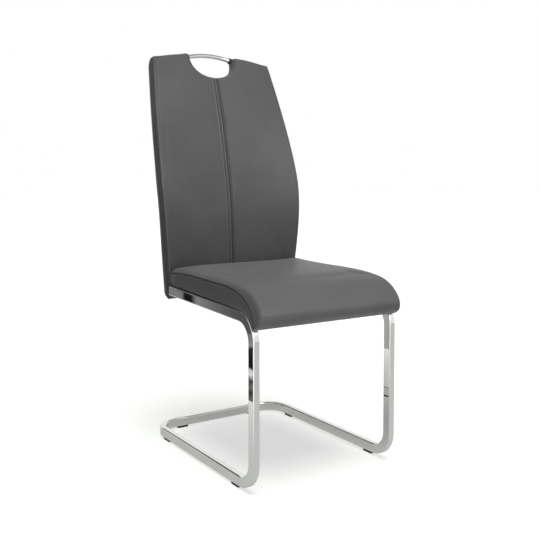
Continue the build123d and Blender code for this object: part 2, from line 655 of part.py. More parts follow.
# Cover of the seat: closed all round but for a window that the dust cover fills
window_rear = seat_rear_y - COVER_RETURN
window_front = bend_y + COVER_FRONT_RETURN
window_middle = (window_rear + window_front) / 2
window = Rectangle(SEAT_REAR_WIDTH - 2 * COVER_RETURN, window_rear - window_front)
window_cut = Pos(0, window_middle, RAIL_TOP) * extrude(window, board_low)
seat_cover = seat_loft(0) - seat_loft(COVER_THICKNESS) - window_cut - rail_screw_room
dust = offset(window, -BOARD_GAP)
dust_spot = Pos(0, window_middle, RAIL_TOP + board_low - DUST_THICKNESS)
seat_dust_cover = dust_spot * extrude(dust, DUST_THICKNESS) - bolt_holes

strap_face = strap_top - STRAP_THICKNESS
seat_bolt_length = STRAP_THICKNESS + BRACKET_THICKNESS + board_top
seat_spots = [Pos(x, y, strap_face) for x, y in bracket_spots]
seat_bolt = washer_down * bolt(WASHER_THICKNESS + seat_bolt_length)
seat_bolts = [on_rail(spot * seat_bolt) for spot in seat_spots]
seat_washers = [on_rail(spot * washer_down * washer()) for spot in seat_spots]
seat_tee_nuts = [on_rail(spot * tee_nut()) for spot in seat_nut_spots]
rail_screw = screw(RAIL_SCREW_DIAMETER, rail_screw_reach, RAIL_SCREW_HEAD, RAIL_SCREW_HEAD_HEIGHT)
rail_screws = [on_rail(spot * rail_screw) for spot in rail_screw_spots]

nodes = {
    "frame_tube": frame_tube,
    "rail_end_plugs": rail_end_plugs,
    "floor_glides": floor_glides,
    "front_strap": front_strap,
    "rear_strap": rear_strap,
    "left_back_bracket": left_back_bracket,
    "right_back_bracket": right_back_bracket,
    "seat_bolts": seat_bolts,
    "seat_washers": seat_washers,
    "seat_tee_nuts": seat_tee_nuts,
    "rail_screws": rail_screws,
    "seat_board": on_rail(seat_board),
    "seat_foam": on_rail(seat_foam),
    "seat_cover": on_rail(seat_cover),
    "seat_dust_cover": on_rail(seat_dust_cover),
    "back_panel": back_panel,
    "back_front_foam": back_front_foam,
    "back_rear_foam": back_rear_foam,
    "back_cover": back_cover,
    "back_base_cloth": back_base_cloth,
    "back_bolts": back_bolts,
    "back_washers": back_washers,
    "back_tee_nuts": back_tee_nuts,
    "handle_bar": handle_bar,
    "handle_ferrules": handle_ferrules,
    "handle_blocks": handle_blocks,
    "handle_screws": handle_screws,
}

# Move the origin to the bottom centre of the whole chair and write one file for each node
solids = {}
for name, shape in nodes.items():
    pieces = shape if isinstance(shape, list) else [shape]
    solids[name] = Compound([solid for piece in pieces for solid in piece.solids()])
whole = Compound(list(solids.values())).bounding_box()
to_origin = Pos(-whole.center().X, -whole.center().Y, -whole.min.Z)
os.makedirs("parts", exist_ok=True)
for name, shape in solids.items():
    export_step(to_origin * shape, f"parts/{name}.step")
print("size", whole.size)
print("shift", to_origin.position)
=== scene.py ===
import bpy
import bmesh
import json
import math
import numpy as np
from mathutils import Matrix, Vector
from mathutils.bvhtree import BVHTree


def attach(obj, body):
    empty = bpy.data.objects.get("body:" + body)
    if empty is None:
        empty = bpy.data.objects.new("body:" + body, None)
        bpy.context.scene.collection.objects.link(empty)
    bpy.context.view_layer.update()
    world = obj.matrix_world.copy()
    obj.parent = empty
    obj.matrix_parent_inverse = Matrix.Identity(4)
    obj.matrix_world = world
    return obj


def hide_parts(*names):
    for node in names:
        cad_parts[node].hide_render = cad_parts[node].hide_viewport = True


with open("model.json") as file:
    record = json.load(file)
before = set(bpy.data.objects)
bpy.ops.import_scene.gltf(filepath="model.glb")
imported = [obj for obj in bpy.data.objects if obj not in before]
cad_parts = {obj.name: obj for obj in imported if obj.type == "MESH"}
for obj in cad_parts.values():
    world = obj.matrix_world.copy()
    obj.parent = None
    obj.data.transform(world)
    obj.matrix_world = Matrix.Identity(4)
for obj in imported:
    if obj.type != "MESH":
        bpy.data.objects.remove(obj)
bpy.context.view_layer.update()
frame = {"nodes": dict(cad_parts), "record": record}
scene = bpy.context.scene
nodes = frame["nodes"]

# Sizes of the padded shapes are in millimetres, with the leg fronts at Y 0 as in the part
SHIFT_Y = -281.664

# Back: outline, lean and thickness
BACK_BOTTOM, BACK_TOP = 376.0, 1021.0
BACK_WIDTH, TOP_WIDTH, BOTTOM_WIDTH = 427.0, 364.5, 380.0
WIDEST, TAPER = 670.0, 1.55
LUMBAR, SOFTNESS = 640.0, 107.0
LOW_LEAN, HIGH_LEAN = math.radians(-5.9), math.radians(21.0)
SETBACK = 385.5
FOOT_THICK, TOP_THICK = 46.5, 39.0
# Hollow of the front: its depth, the height of its deepest place, and how far it fades down and up
HOLLOW_DEPTH, HOLLOW_AT, FADE_DOWN, FADE_UP = 26.0, 650.0, 270.0, 190.0
# Middle of each front half: its place between the edge and the hollow, and how far it swells
HALF_SHARE, HALF_SWELL = 0.75, 1.5
# Rear: its crown, and how much of the hollow it follows
REAR_CROWN, REAR_FOLLOW = 5.0, 0.6

# Top edge and cut-out
TOP_CROWN, TOP_ARC, CORNER = 6.5, 750.0, 5.0
CORNER_U = TOP_WIDTH / 2 - CORNER + 0.6
TOP_SLOPE, SLOPE_REACH = 0.010, 260.0
CUT_HALF, CUT_DEPTH, CUT_LEVEL, CUT_POWER = 68.0, 62.5, -6.0, 0.91
LIP_R = 6.0

# Edge radii: sides, rear, bottom, top, and the rim of the cut-out at the front and the rear
EDGE_R, REAR_R, FOOT_R, TOP_R = 8.5, 10.0, 13.0, 12.5
RIM_FRONT, RIM_REAR = 15.0, 15.5
# Distances from the middle at which the rim becomes the top edge, and the top edge the side
RIM_END, RIM_FADE = 98.0, 34.0
TOP_END, TOP_FADE = 176.0, 16.0


def edge_y(z):
    low, high = math.tan(LOW_LEAN), math.tan(HIGH_LEAN)
    rise = z - LUMBAR
    return SETBACK + (low + high) / 2 * rise + (high - low) / 2 * np.hypot(rise, SOFTNESS)


def hollow(z):
    """How far the middle of the front lies behind its edges; it fades slower downwards."""
    fade = np.where(z < HOLLOW_AT, FADE_DOWN, FADE_UP)
    return HOLLOW_DEPTH * np.exp(-(((z - HOLLOW_AT) / fade) ** 2))


def half_width(z):
    low = z < WIDEST
    end = np.where(low, BOTTOM_WIDTH, TOP_WIDTH)
    span = np.where(low, WIDEST - BACK_BOTTOM, BACK_TOP - WIDEST)
    share = np.abs(z - WIDEST) / span
    return (BACK_WIDTH - (BACK_WIDTH - end) * share**TAPER) / 2


def side_depth(z):
    return FOOT_THICK + (TOP_THICK - FOOT_THICK) * (z - BACK_BOTTOM) / (BACK_TOP - BACK_BOTTOM)


def side_share(x, z):
    """0 in the middle of the back, 1 at its edge and a little more outside it."""
    return np.clip(np.abs(x) / half_width(z), 0, 1.05)


def front_y(x, z):
    """Front of the back: two pillowed halves that meet in the centre seam."""
    s = side_share(x, z)
    front, middle = edge_y(z), edge_y(z) + hollow(z)
    quarter = front + HALF_SHARE * (middle - front) - HALF_SWELL
    return middle + (front - middle) * s + 4 * (quarter - (front + middle) / 2) * s * (1 - s)


def rear_y(x, z):
    s = side_share(x, z)
    return edge_y(z) + side_depth(z) + (REAR_CROWN + REAR_FOLLOW * hollow(z)) * (1 - s**2)


# Plane of the grip: u across, w up the lean, s towards the front
GRIP_Y = float(edge_y(BACK_TOP) + side_depth(BACK_TOP) / 2)
UP_Y, UP_Z = math.sin(HIGH_LEAN), math.cos(HIGH_LEAN)
# First guesses of s for the front and the rear, and what slows the search so that it settles
FRONT_S, REAR_S, DAMPING = 20.0, -20.0, 0.15


def lift(u, w, s):
    """Points in the part's frame, in metres, from grip plane coordinates in millimetres."""
    y = GRIP_Y + w * UP_Y - s * UP_Z + SHIFT_Y
    z = BACK_TOP + w * UP_Z + s * UP_Y
    return np.stack([u, y, z], -1) / 1000.0


def onto(u, w, surface, guess):
    """Distance s at which the line through (u, w) meets a surface of the back."""
    s = np.full(np.shape(u), guess, float)
    for _ in range(12):
        z = BACK_TOP + w * UP_Z + s * UP_Y
        miss = GRIP_Y + w * UP_Y - s * UP_Z - surface(u, z)
        s = s + miss / (UP_Z + DAMPING)
    return s


def make_mesh(name, points, faces, smooth=True, painted_shading=None):
    """Mesh object; its painted shading is painted shade up to 1 in a seam, a painted highlight below 0 on a
    ridge beside it and 0 elsewhere.
    """
    mesh = bpy.data.meshes.new(name)
    mesh.from_pydata([tuple(p) for p in points], [], faces)
    if painted_shading is not None:
        mesh.attributes.new("painted_shading", "FLOAT", "POINT").data.foreach_set("value", painted_shading)
    mesh.validate()
    if smooth:
        mesh.polygons.foreach_set("use_smooth", [True] * len(mesh.polygons))
    obj = bpy.data.objects.new(name, mesh)
    scene.collection.objects.link(obj)
    return obj


def pin(obj, mask):
    """Group of the points that the cloth keeps in place."""
    obj.vertex_groups.new(name="pins").add(np.flatnonzero(mask).tolist(), 1.0, "REPLACE")


def tidy_mesh(obj, merge=1e-5):
    """Merge points that coincide and turn all faces outwards."""
    bm = bmesh.new()
    bm.from_mesh(obj.data)
    bmesh.ops.remove_doubles(bm, verts=bm.verts, dist=merge)
    bmesh.ops.dissolve_degenerate(bm, edges=bm.edges, dist=1e-6)
    bmesh.ops.recalc_face_normals(bm, faces=bm.faces)
    bm.to_mesh(obj.data)
    bm.free()


def spread(count, edge, power=1.6):
    """Numbers from 0 to 1 that crowd at both ends; edge is how strongly."""
    t = np.linspace(-1, 1, count)
    bent = np.sign(t) * (1 - (1 - np.abs(t)) ** power)
    return ((1 - edge) * t + edge * bent + 1) / 2


def back_columns():
    """Shares of the width from 0 to 1, crowded at the centre seam and at the edges."""
    seam = [0, 0.005, 0.010, 0.016, 0.022, 0.029, 0.036, 0.043, 0.050, 0.057, 0.065, 0.075, 0.088]
    edge = [0.94, 0.955, 0.968, 0.979, 0.988, 0.995, 1.0]
    half = np.array(seam + list(np.linspace(0.115, 0.92, 26)) + edge)
    return (np.concatenate([-half[:0:-1], half]) + 1) / 2


# Columns of the back's grid, and its rows below and above BASE_W as shares that crowd at the edges
ACROSS = back_columns()
COLS = len(ACROSS)
BASE_W = -150.0
LOW_STEPS = np.concatenate([[0, 0.002, 0.005, 0.010, 0.016, 0.023], np.linspace(0.034, 1, 62)])
FROM_TOP = np.concatenate([[0, 0.008, 0.018, 0.031, 0.046, 0.064], np.linspace(0.09, 1, 26)])
HIGH_STEPS = 1 - FROM_TOP[::-1]


def resample(points, shares):
    """Points at shares of the length of a line of points."""
    step = np.hypot(*np.diff(points, axis=0).T)
    length = np.concatenate([[0], np.cumsum(step)])
    where = np.asarray(shares) * length[-1]
    return np.stack([np.interp(where, length, points[:, k]) for k in (0, 1)], 1)


def arc(cx, cy, radius, start, end, count):
    a = np.radians(np.linspace(start, end, count))
    return np.stack([cx + radius * np.cos(a), cy + radius * np.sin(a)], 1)


def top_w(u):
    """Height of the arched top edge in the grip plane."""
    return TOP_CROWN - TOP_ARC + np.sqrt(TOP_ARC**2 - u**2)


def right_half_top():
    """Top outline from the middle of the cut-out to the middle of the right corner."""
    t = np.radians(np.linspace(-90, 0, 80))
    deep = CUT_DEPTH + CUT_LEVEL
    bowl_u = CUT_HALF * np.abs(np.cos(t)) ** CUT_POWER
    bowl_w = CUT_LEVEL - deep * np.abs(np.sin(t)) ** CUT_POWER
    lip_u = CUT_HALF + LIP_R
    lip = arc(lip_u, top_w(lip_u) - LIP_R, LIP_R, 180, 92, 14)
    run_u = np.linspace(lip_u + 3, CORNER_U - 2, 44)
    run = np.stack([run_u, top_w(run_u)], 1)
    turn = arc(CORNER_U, top_w(CORNER_U) - CORNER, CORNER, 84, 40, 12)
    return np.concatenate([np.stack([bowl_u, bowl_w], 1), lip, run, turn])


def side_u(w, surface, guess):
    """Half width of a face of the back at heights w of the grip plane."""
    first_z = 800.0
    u = half_width(np.full(np.shape(w), first_z))
    for _ in range(6):
        s = onto(u, w, surface, guess)
        u = half_width(BACK_TOP + w * UP_Z + s * UP_Y)
    return u


def bottom_w(u, surface, guess):
    """Height of a face's bottom edge in the grip plane."""
    first_w = -640.0
    w = np.full(np.shape(u), first_w)
    for _ in range(8):
        s = onto(u, w, surface, guess)
        w = w + (BACK_BOTTOM - (BACK_TOP + w * UP_Z + s * UP_Y)) / UP_Z
    return w


def slope(u, w):
    """How far the cover runs up to the right, which fades down the back."""
    return TOP_SLOPE * u * np.clip((w + SLOPE_REACH) / SLOPE_REACH, 0, 1) ** 2


def grip_bulge(u, w):
    """How far the padding stands up over the left end of the grip."""
    rise, place, wide, level = 2.0, -80.0, 11.0, 6.0
    return rise * np.exp(-(((u - place) / wide) ** 2)) * np.clip((w + level) / level, 0, 1)


def back_grid(surface, guess):
    """Grid (rows, columns, 2) of grip plane coordinates over one face of the back."""
    top_right = right_half_top()
    top = np.concatenate([top_right[::-1] * [-1, 1], top_right[1:]])
    top[:, 1] += grip_bulge(top[:, 0], top[:, 1])
    low_line = bottom_w((2 * ACROSS - 1) * BOTTOM_WIDTH / 2, surface, guess)
    rows = []
    for share in LOW_STEPS:
        w = low_line + (BASE_W - low_line) * share
        rows.append(np.stack([(2 * ACROSS - 1) * side_u(w, surface, guess), w], 1))
    base = rows.pop()
    side_w = np.linspace(BASE_W, top_right[-1, 1] - 10.0, 60)
    side = np.stack([side_u(side_w, surface, guess), side_w], 1)
    corner = arc(CORNER_U, top_w(CORNER_U) - CORNER, CORNER, 12, 40, 10)
    right = np.concatenate([side[:-3], corner])
    right[0] = base[-1]
    top_line = resample(top, ACROSS)
    # The upper rows blend between the base row, the top outline and the two sides
    for step, edge in zip(HIGH_STEPS, resample(right, HIGH_STEPS)):
        flat = (1 - step) * base + step * top_line
        sides = np.outer(1 - ACROSS, edge * [-1, 1]) + np.outer(ACROSS, edge)
        low = np.outer(1 - ACROSS, base[0]) + np.outer(ACROSS, base[-1])
        high = np.outer(1 - ACROSS, top_line[0]) + np.outer(ACROSS, top_line[-1])
        rows.append(flat + sides - ((1 - step) * low + step * high))
    grid = np.array(rows)
    grid[..., 1] += slope(grid[..., 0], grid[..., 1])
    return grid


def loop_of(rows, columns):
    """Indices of a grid's boundary in order: left, top, right and bottom."""
    left = [r * columns for r in range(rows)]
    top = [(rows - 1) * columns + c for c in range(1, columns)]
    right = [r * columns + columns - 1 for r in range(rows - 2, -1, -1)]
    bottom = [c for c in range(columns - 2, 0, -1)]
    return left + top + right + bottom


def distance_to(points, line):
    """Least distance in the plane from each point to a line of points."""
    start, way = line[:-1], np.diff(line, axis=0)
    size = np.maximum((way**2).sum(1), 1e-9)
    best = np.empty(len(points))
    batch = 2000
    for first in range(0, len(points), batch):
        p = points[first:first + batch, None]
        t = np.clip(((p - start) * way).sum(-1) / size, 0, 1)
        gap = p - (start + t[..., None] * way)
        best[first:first + batch] = np.sqrt((gap**2).sum(-1)).min(1)
    return best


def roll_off(distance, radius):
    """How far a rounded edge falls back at a distance from the edge."""
    reach = np.clip(radius - distance, 0, None)
    return radius - np.sqrt(np.maximum(radius**2 - reach**2, 0))


def edge_round(u, radius, rim):
    """Edge radius: small at the sides, larger along the top and largest round the cut-out."""
    t = np.clip((RIM_END - np.abs(u)) / RIM_FADE, 0, 1)
    side = np.clip((TOP_END - np.abs(u)) / TOP_FADE, 0, 1)
    edge = radius + (TOP_R - radius) * side
    return edge + (rim - edge) * t * t * (3 - 2 * t)


def back_face(surface, guess, sign, radius, rim):
    """Row count, plane coordinates, depth and edge distance of one face, rolled over at its edges."""
    grid = back_grid(surface, guess)
    flat = grid.reshape(-1, 2)
    s = onto(flat[:, 0], flat[:, 1], surface, guess)
    upper = np.concatenate([grid[:, 0], grid[-1, 1:], grid[-2::-1, -1]])
    inside = distance_to(flat, upper)
    fall = roll_off(inside, edge_round(flat[:, 0], radius, rim))
    foot = roll_off(distance_to(flat, grid[0]), FOOT_R)
    corner_share = 0.35
    fall = np.maximum(fall, foot) + corner_share * np.minimum(fall, foot)
    return len(grid), flat, s - sign * fall, inside


# Lines of a seam: place, width, depth (below 0 is a ridge) and painted shade on the line (below 0 a painted
# highlight)
CENTRE_SEAM = ((0.0, 1.5, 3.2, 0.9), (-4.2, 2.0, -0.9, -0.5), (-9.0, 1.5, 1.9, 0.6), (-13.0, 2.2, -1.0, -0.5),
               (5.2, 1.5, 1.6, 0.55), (9.0, 2.4, -0.7, -0.25))
EDGE_SEAM = ((3.6, 1.7, -1.1, -0.65), (8.2, 1.4, 1.1, 0.3), (11.4, 1.8, -0.5, -0.2))
# The edge seam begins this far from the middle, clear of the cut-out
WELT_FROM, WELT_FADE = 96.0, 20.0
# Side strip of the back: share of the depth, swell in millimetres and painted shade
STRIP = ((0.02, -0.8, 0.4), (0.045, -2.2, 1.0), (0.075, -0.6, 0.3), (0.12, 0.8, 0.0), (0.25, 2.4, 0.0),
         (0.42, 3.4, 0.0), (0.6, 3.4, 0.0), (0.78, 2.4, 0.0), (0.92, 0.8, 0.3))
# The strip swells less where it is thinner than this, in metres, and its painted shade fades at the cut-out
STRIP_FULL, STRIP_FROM, STRIP_FADE, STRIP_LEAST = 0.028, 80.0, 20.0, 0.3
# Puckers at each end of the grip: their centre, and the turn of each in degrees from the outward side
PUCKER_U, PUCKER_W = 74.0, -2.0
PUCKER_TURNS, PUCKER_SKEW = (-62, -35, -8, 18), 6
LEFT_PUCKERS, RIGHT_PUCKERS = 3, 4
# Their height, width and reach, how these change from fold to fold or along one, and their waves
PUCKER_HIGH, PUCKER_LESS = 1.3, 0.2
PUCKER_WIDE, PUCKER_FLARE, FLARE_END = 3.2, 0.10, 80.0
PUCKER_START, PUCKER_REACH, REACH_MORE = 10.0, 24.0, 5.0
PUCKER_WAVES = 1.9
# What the cloth keeps in place on the front: a band at the centre seam and one along the edges
SEAM_HELD, EDGE_HELD = (-15.0, 11.0), 13.0


def seam_lines(u, inside):
    """Relief of the centre seam, of the welt at the edges and of the channel inside it, with painted shade in
    their grooves and painted highlight on their ridges.
    """
    relief, painted_shading = np.zeros(len(u)), np.zeros(len(u))
    for at, width, depth, dark in CENTRE_SEAM:
        line = np.exp(-(((u - at) / width) ** 2))
        relief -= depth * line
        painted_shading += dark * line
    rim = np.clip((np.abs(u) - WELT_FROM) / WELT_FADE, 0, 1)
    for at, width, depth, dark in EDGE_SEAM:
        line = rim * np.exp(-(((inside - at) / width) ** 2))
        relief -= depth * line
        painted_shading += dark * line
    return relief, painted_shading


def puckers(u, w):
    """Relief where the cover is drawn round the ends of the grip, with a hump at the left end."""
    rise, place_u, place_w, wide_u, wide_w = 2.2, -82.0, 4.0, 13.0, 9.0
    relief = rise * np.exp(-(((u - place_u) / wide_u) ** 2) - (((w - place_w) / wide_w) ** 2))
    for side, count in ((-1, LEFT_PUCKERS), (1, RIGHT_PUCKERS)):
        du, dw = side * u - PUCKER_U, w - PUCKER_W
        for k, degrees in enumerate(PUCKER_TURNS[:count]):
            turn = math.radians(degrees + PUCKER_SKEW * side)
            along = du * math.cos(turn) + dw * math.sin(turn)
            off = -du * math.sin(turn) + dw * math.cos(turn)
            wide = PUCKER_WIDE + PUCKER_FLARE * np.clip(along, 0, FLARE_END)
            fade = np.exp(-np.clip(along, 0, None) / (PUCKER_REACH + REACH_MORE * k))
            reach = np.clip(along / PUCKER_START, 0, 1) * fade
            fold = np.cos(off / wide * PUCKER_WAVES) * np.exp(-((off / (2 * wide)) ** 2))
            relief += (PUCKER_HIGH - PUCKER_LESS * k) * reach * fold
    return relief


def outward(uw):
    """Unit normals of a closed outline in the grip plane, as directions in the part's frame."""
    tangent = np.roll(uw, -1, axis=0) - np.roll(uw, 1, axis=0)
    tangent /= np.maximum(np.linalg.norm(tangent, axis=1, keepdims=True), 1e-9)
    across, up = -tangent[:, 1], tangent[:, 0]
    return np.stack([across, up * UP_Y, up * UP_Z], 1)


def build_back():
    """Closed form of the padded back: front, rear and the side strip between them."""
    rows, front_uw, front_s, inside = back_face(front_y, FRONT_S, 1, EDGE_R, RIM_FRONT)
    _, rear_uw, rear_s, _ = back_face(rear_y, REAR_S, -1, REAR_R, RIM_REAR)
    u, w = front_uw.T
    # Relief of the seams, with their painted shade and painted highlight
    relief, painted_shading = seam_lines(u, inside)
    front = lift(u, w, front_s + relief + puckers(u, w))
    rear = lift(rear_uw[:, 0], rear_uw[:, 1], rear_s)
    size = rows * COLS
    points, shades, faces = [front, rear], [painted_shading, np.zeros(size)], []
    for r in range(rows - 1):
        for c in range(COLS - 1):
            a = r * COLS + c
            faces.append((a, a + 1, a + COLS + 1, a + COLS))
            faces.append((size + a, size + a + COLS, size + a + COLS + 1, size + a + 1))
    # Side strip round the whole outline, a little swollen
    loop = loop_of(rows, COLS)
    rear_loop = [size + k for k in loop]
    near, far = front[loop], rear[loop]
    uw = (front_uw[loop] + rear_uw[loop]) / 2
    thick = np.clip(np.linalg.norm(near - far, axis=1) / STRIP_FULL, 0, 1)[:, None]
    swelling = outward(uw) / 1000.0 * thick**2
    fade = np.clip((np.abs(uw[:, 0]) - STRIP_FROM) / STRIP_FADE, STRIP_LEAST, 1)
    rings = [loop]
    total = 2 * size
    # Each ring of the strip carries its painted shade
    for share, swell, dark in STRIP:
        points.append(near * (1 - share) + far * share + swelling * swell)
        shades.append(dark * fade)
        rings.append(list(range(total, total + len(loop))))
        total += len(loop)
    rings.append(rear_loop)
    for one, two in zip(rings, rings[1:]):
        for k in range(len(loop)):
            n = (k + 1) % len(loop)
            faces.append((one[k], two[k], two[n], one[n]))
    obj = make_mesh("back_upholstery", np.concatenate(points), faces, painted_shading=np.concatenate(shades))
    # The rear swells freely, the front between its seams, and the strip stays
    held = np.ones(total, bool)
    held[:size] = (u > SEAM_HELD[0]) & (u < SEAM_HELD[1]) | (inside < EDGE_HELD)
    held[size:2 * size] = False
    held[loop] = True
    held[rear_loop] = True
    pin(obj, held)
    return obj


# Seat: sections across the rail line and its front bend, as in the part
RAIL_TOP, PITCH = 395.5, math.radians(2.3)
PITCH_COS, PITCH_SIN = math.cos(PITCH), math.sin(PITCH)
BEND_Y, BEND_Z, BEND_R = 66.0, 329.5, 66.0
LIP = math.radians(58.5)
SEAT_THICK, BACK_GAP = 50.5, 5.0
RAIL_END_Y = float(edge_y(RAIL_TOP) - BACK_GAP)
REAR_TOP_Z = BEND_Z + (RAIL_END_Y - BEND_Y) * PITCH_SIN + (RAIL_TOP + SEAT_THICK - BEND_Z) * PITCH_COS
SEAT_REAR = float(edge_y(REAR_TOP_Z) - BACK_GAP)
FLAT = SEAT_REAR - BEND_Y
LENGTH = FLAT + BEND_R * LIP
REAR_WIDTH, FRONT_WIDTH, WAIST = 396.0, 404.0, 1.2
# Places along the rail line where the padding ends, at the rear and at the nose
REAR_END, NOSE_END = -1.4, LENGTH + 3.0
# Heights above the rail line by distance from the rear: side seam, top panel, crown of the middle
SEAM_AT = ((0, 33.5), (30, 37.5), (62, 40.2), (100, 42.6), (175, 43.8), (245, 44.5), (300, 44.2), (320, 42.0),
           (336, 38.3), (357, 30.8), (380, 21.0), (414, 9.0))
TOP_AT = ((0, 51.5), (76, 54.0), (155, 56.0), (229, 58.6), (278, 59.0), (319, 57.4), (347, 54.0), (362, 52.6),
          (375, 51.0), (398, 46.0), (414, 41.0))
CROWN_AT = ((0, -1.0), (120, 1.5), (250, 2.5), (340, 2.5), (414, 2.0))
# Radius from the side seam to the top by distance from the rear, and the radii of nose and rear edge
ROLL_AT = ((0, 20), (250, 20), (300, 19), (340, 15), (375, 11), (414, 9))
NOSE_R, REAR_EDGE_R = 20.0, 9.0
# Underside: its height, how far it lies inside the side, and its points across
UNDER_LEVEL, UNDER_IN, UNDER_POINTS = 0.6, 1.5, 14
# Rear corners: how far they reach, rise of the top at the right and the left, of the seam at the right
CORNER_REACH, RIGHT_RISE, LEFT_RISE, SEAM_RISE = 50.0, 2.2, -4.4, 5.0
LEFT_TUCK, TUCK_REACH = 1.4, 16.0
# Steps up the side wall to the seam, and from the seam round to the top
WALL_STEPS = np.array([0.12, 0.25, 0.38, 0.50, 0.62, 0.74, 0.85, 0.92, 0.962, 1.0])
SHOULDER_STEPS = np.array([0.035, 0.09, 0.17, 0.28, 0.40, 0.54, 0.69, 0.84, 1.0])
# Hem between underside and wall: inwards and upwards; then swell of the wall and points of the crown
HEM, WALL_SWELL, CROWN_POINTS = ((2.0, 0.1), (0.5, 0.8)), 1.5, 34
# The side seam: its least drop below the top, how far it is drawn in and the swell above and below it
SEAM_DROP, SEAM_IN, SWELL_ABOVE, SWELL_BELOW = 5.0, 3.0, 0.4, 0.5
# Painted shade in the seam and beside it, painted highlight on the ridges, and painted shade underneath
SEAM_PAINTED_SHADE, BESIDE_PAINTED_SHADE, RIDGE_PAINTED_HIGHLIGHT, UNDER_PAINTED_SHADE = 1.0, 0.32, -0.12, 0.4
# The cloth keeps this much of the seat at the rear and at the nose
REAR_HELD, NOSE_HELD = 12.0, 6.0


def seat_half(along):
    share = np.clip(along / LENGTH, 0, 1)
    return (REAR_WIDTH + (FRONT_WIDTH - REAR_WIDTH) * share) / 2 - WAIST * np.sin(np.pi * share)


def seat_place(x, along, height):
    """Points in the part's frame from distance along the rail line and height above it."""
    turn = np.maximum(along - FLAT, 0) / BEND_R
    y = np.where(along <= FLAT, SEAT_REAR - along, BEND_Y - (BEND_R + height) * np.sin(turn)) - BEND_Y
    z = np.where(along <= FLAT, RAIL_TOP + height, BEND_Z + (BEND_R + height) * np.cos(turn)) - BEND_Z
    turned_y = BEND_Y + y * PITCH_COS - z * PITCH_SIN
    turned_z = BEND_Z + y * PITCH_SIN + z * PITCH_COS
    return np.stack([x, turned_y + SHIFT_Y, turned_z], -1) / 1000.0


def along_table(table, at):
    """Smooth curve through the points of a table."""
    x, y = np.array(table, float).T
    steep = np.gradient(y, x)
    k = int(np.clip(np.searchsorted(x, at) - 1, 0, len(x) - 2))
    span = x[k + 1] - x[k]
    t = min(max((at - x[k]) / span, 0), 1)
    rise = (2 * t**3 - 3 * t**2 + 1) * y[k] + (3 * t**2 - 2 * t**3) * y[k + 1]
    return rise + span * ((t**3 - 2 * t**2 + t) * steep[k] + (t**3 - t**2) * steep[k + 1])


def seat_half_line(along, side):
    """Half section from the middle of the underside to the middle of the top; side is -1 or 1."""
    corner = math.exp(-((along / CORNER_REACH) ** 2))
    wide = float(seat_half(along))
    middle = along_table(TOP_AT, along)
    middle -= float(roll_off(NOSE_END - along, NOSE_R)) + 0.5 * float(roll_off(along, REAR_EDGE_R))
    top = middle + (RIGHT_RISE if side > 0 else LEFT_RISE) * corner
    seam = along_table(SEAM_AT, along) + (SEAM_RISE * corner if side > 0 else 0.0)
    seam = min(seam, top - SEAM_DROP)
    if side < 0:
        wide -= LEFT_TUCK * math.exp(-((along / TUCK_REACH) ** 2))
    low, foot = UNDER_LEVEL, wide - UNDER_IN
    roll = along_table(ROLL_AT, along)
    edge = wide - roll
    under = np.stack([np.linspace(0, foot - 4, UNDER_POINTS), np.full(UNDER_POINTS, low)], 1)
    hem = np.array([[foot - inwards, low + up] for inwards, up in HEM])
    t = WALL_STEPS
    wall = np.stack([foot + UNDER_IN * t + WALL_SWELL * np.sin(np.pi * t), low + (seam - low) * t], 1)
    a = SHOULDER_STEPS * math.pi / 2
    shoulder = np.stack([edge + roll * np.cos(a), seam + (top - seam) * np.sin(a)], 1)
    x = np.linspace(edge, 0, CROWN_POINTS)[1:]
    rise = middle + along_table(CROWN_AT, along) - top
    crown = np.stack([x, top + rise * (1 - (x / edge) ** (2 + 3 * corner))], 1)
    line = np.concatenate([under, hem, wall, shoulder, crown])
    seam_at = len(under) + len(hem) + len(wall) - 1
    # The seam is drawn in, and the panels swell beside it
    line[seam_at, 0] -= SEAM_IN
    line[seam_at + 2:seam_at + 4, 0] += SWELL_ABOVE
    line[seam_at - 3:seam_at - 1, 0] += SWELL_BELOW
    return line, seam_at, (low + seam) / 2


def seat_sections():
    """Places of the seat's sections and how much of its full height each has."""
    sections = [(REAR_END, 0.4), (REAR_END, 0.68), (REAR_END, 0.86), (0.2, 0.94), (3.0, 0.98), (6.5, 0.995)]
    sections += [(along, 1.0) for along in FLAT * spread(46, 0.3)[1:] if along > 9.5]
    bend = 1 - (1 - np.linspace(0.05, 1.0, 24)) ** 1.3
    sections += [(FLAT + (LENGTH + 1.5 - FLAT) * share, 1.0) for share in bend]
    return sections + [(NOSE_END - 0.6, 0.98), (NOSE_END - 0.1, 0.9), (NOSE_END, 0.6)]


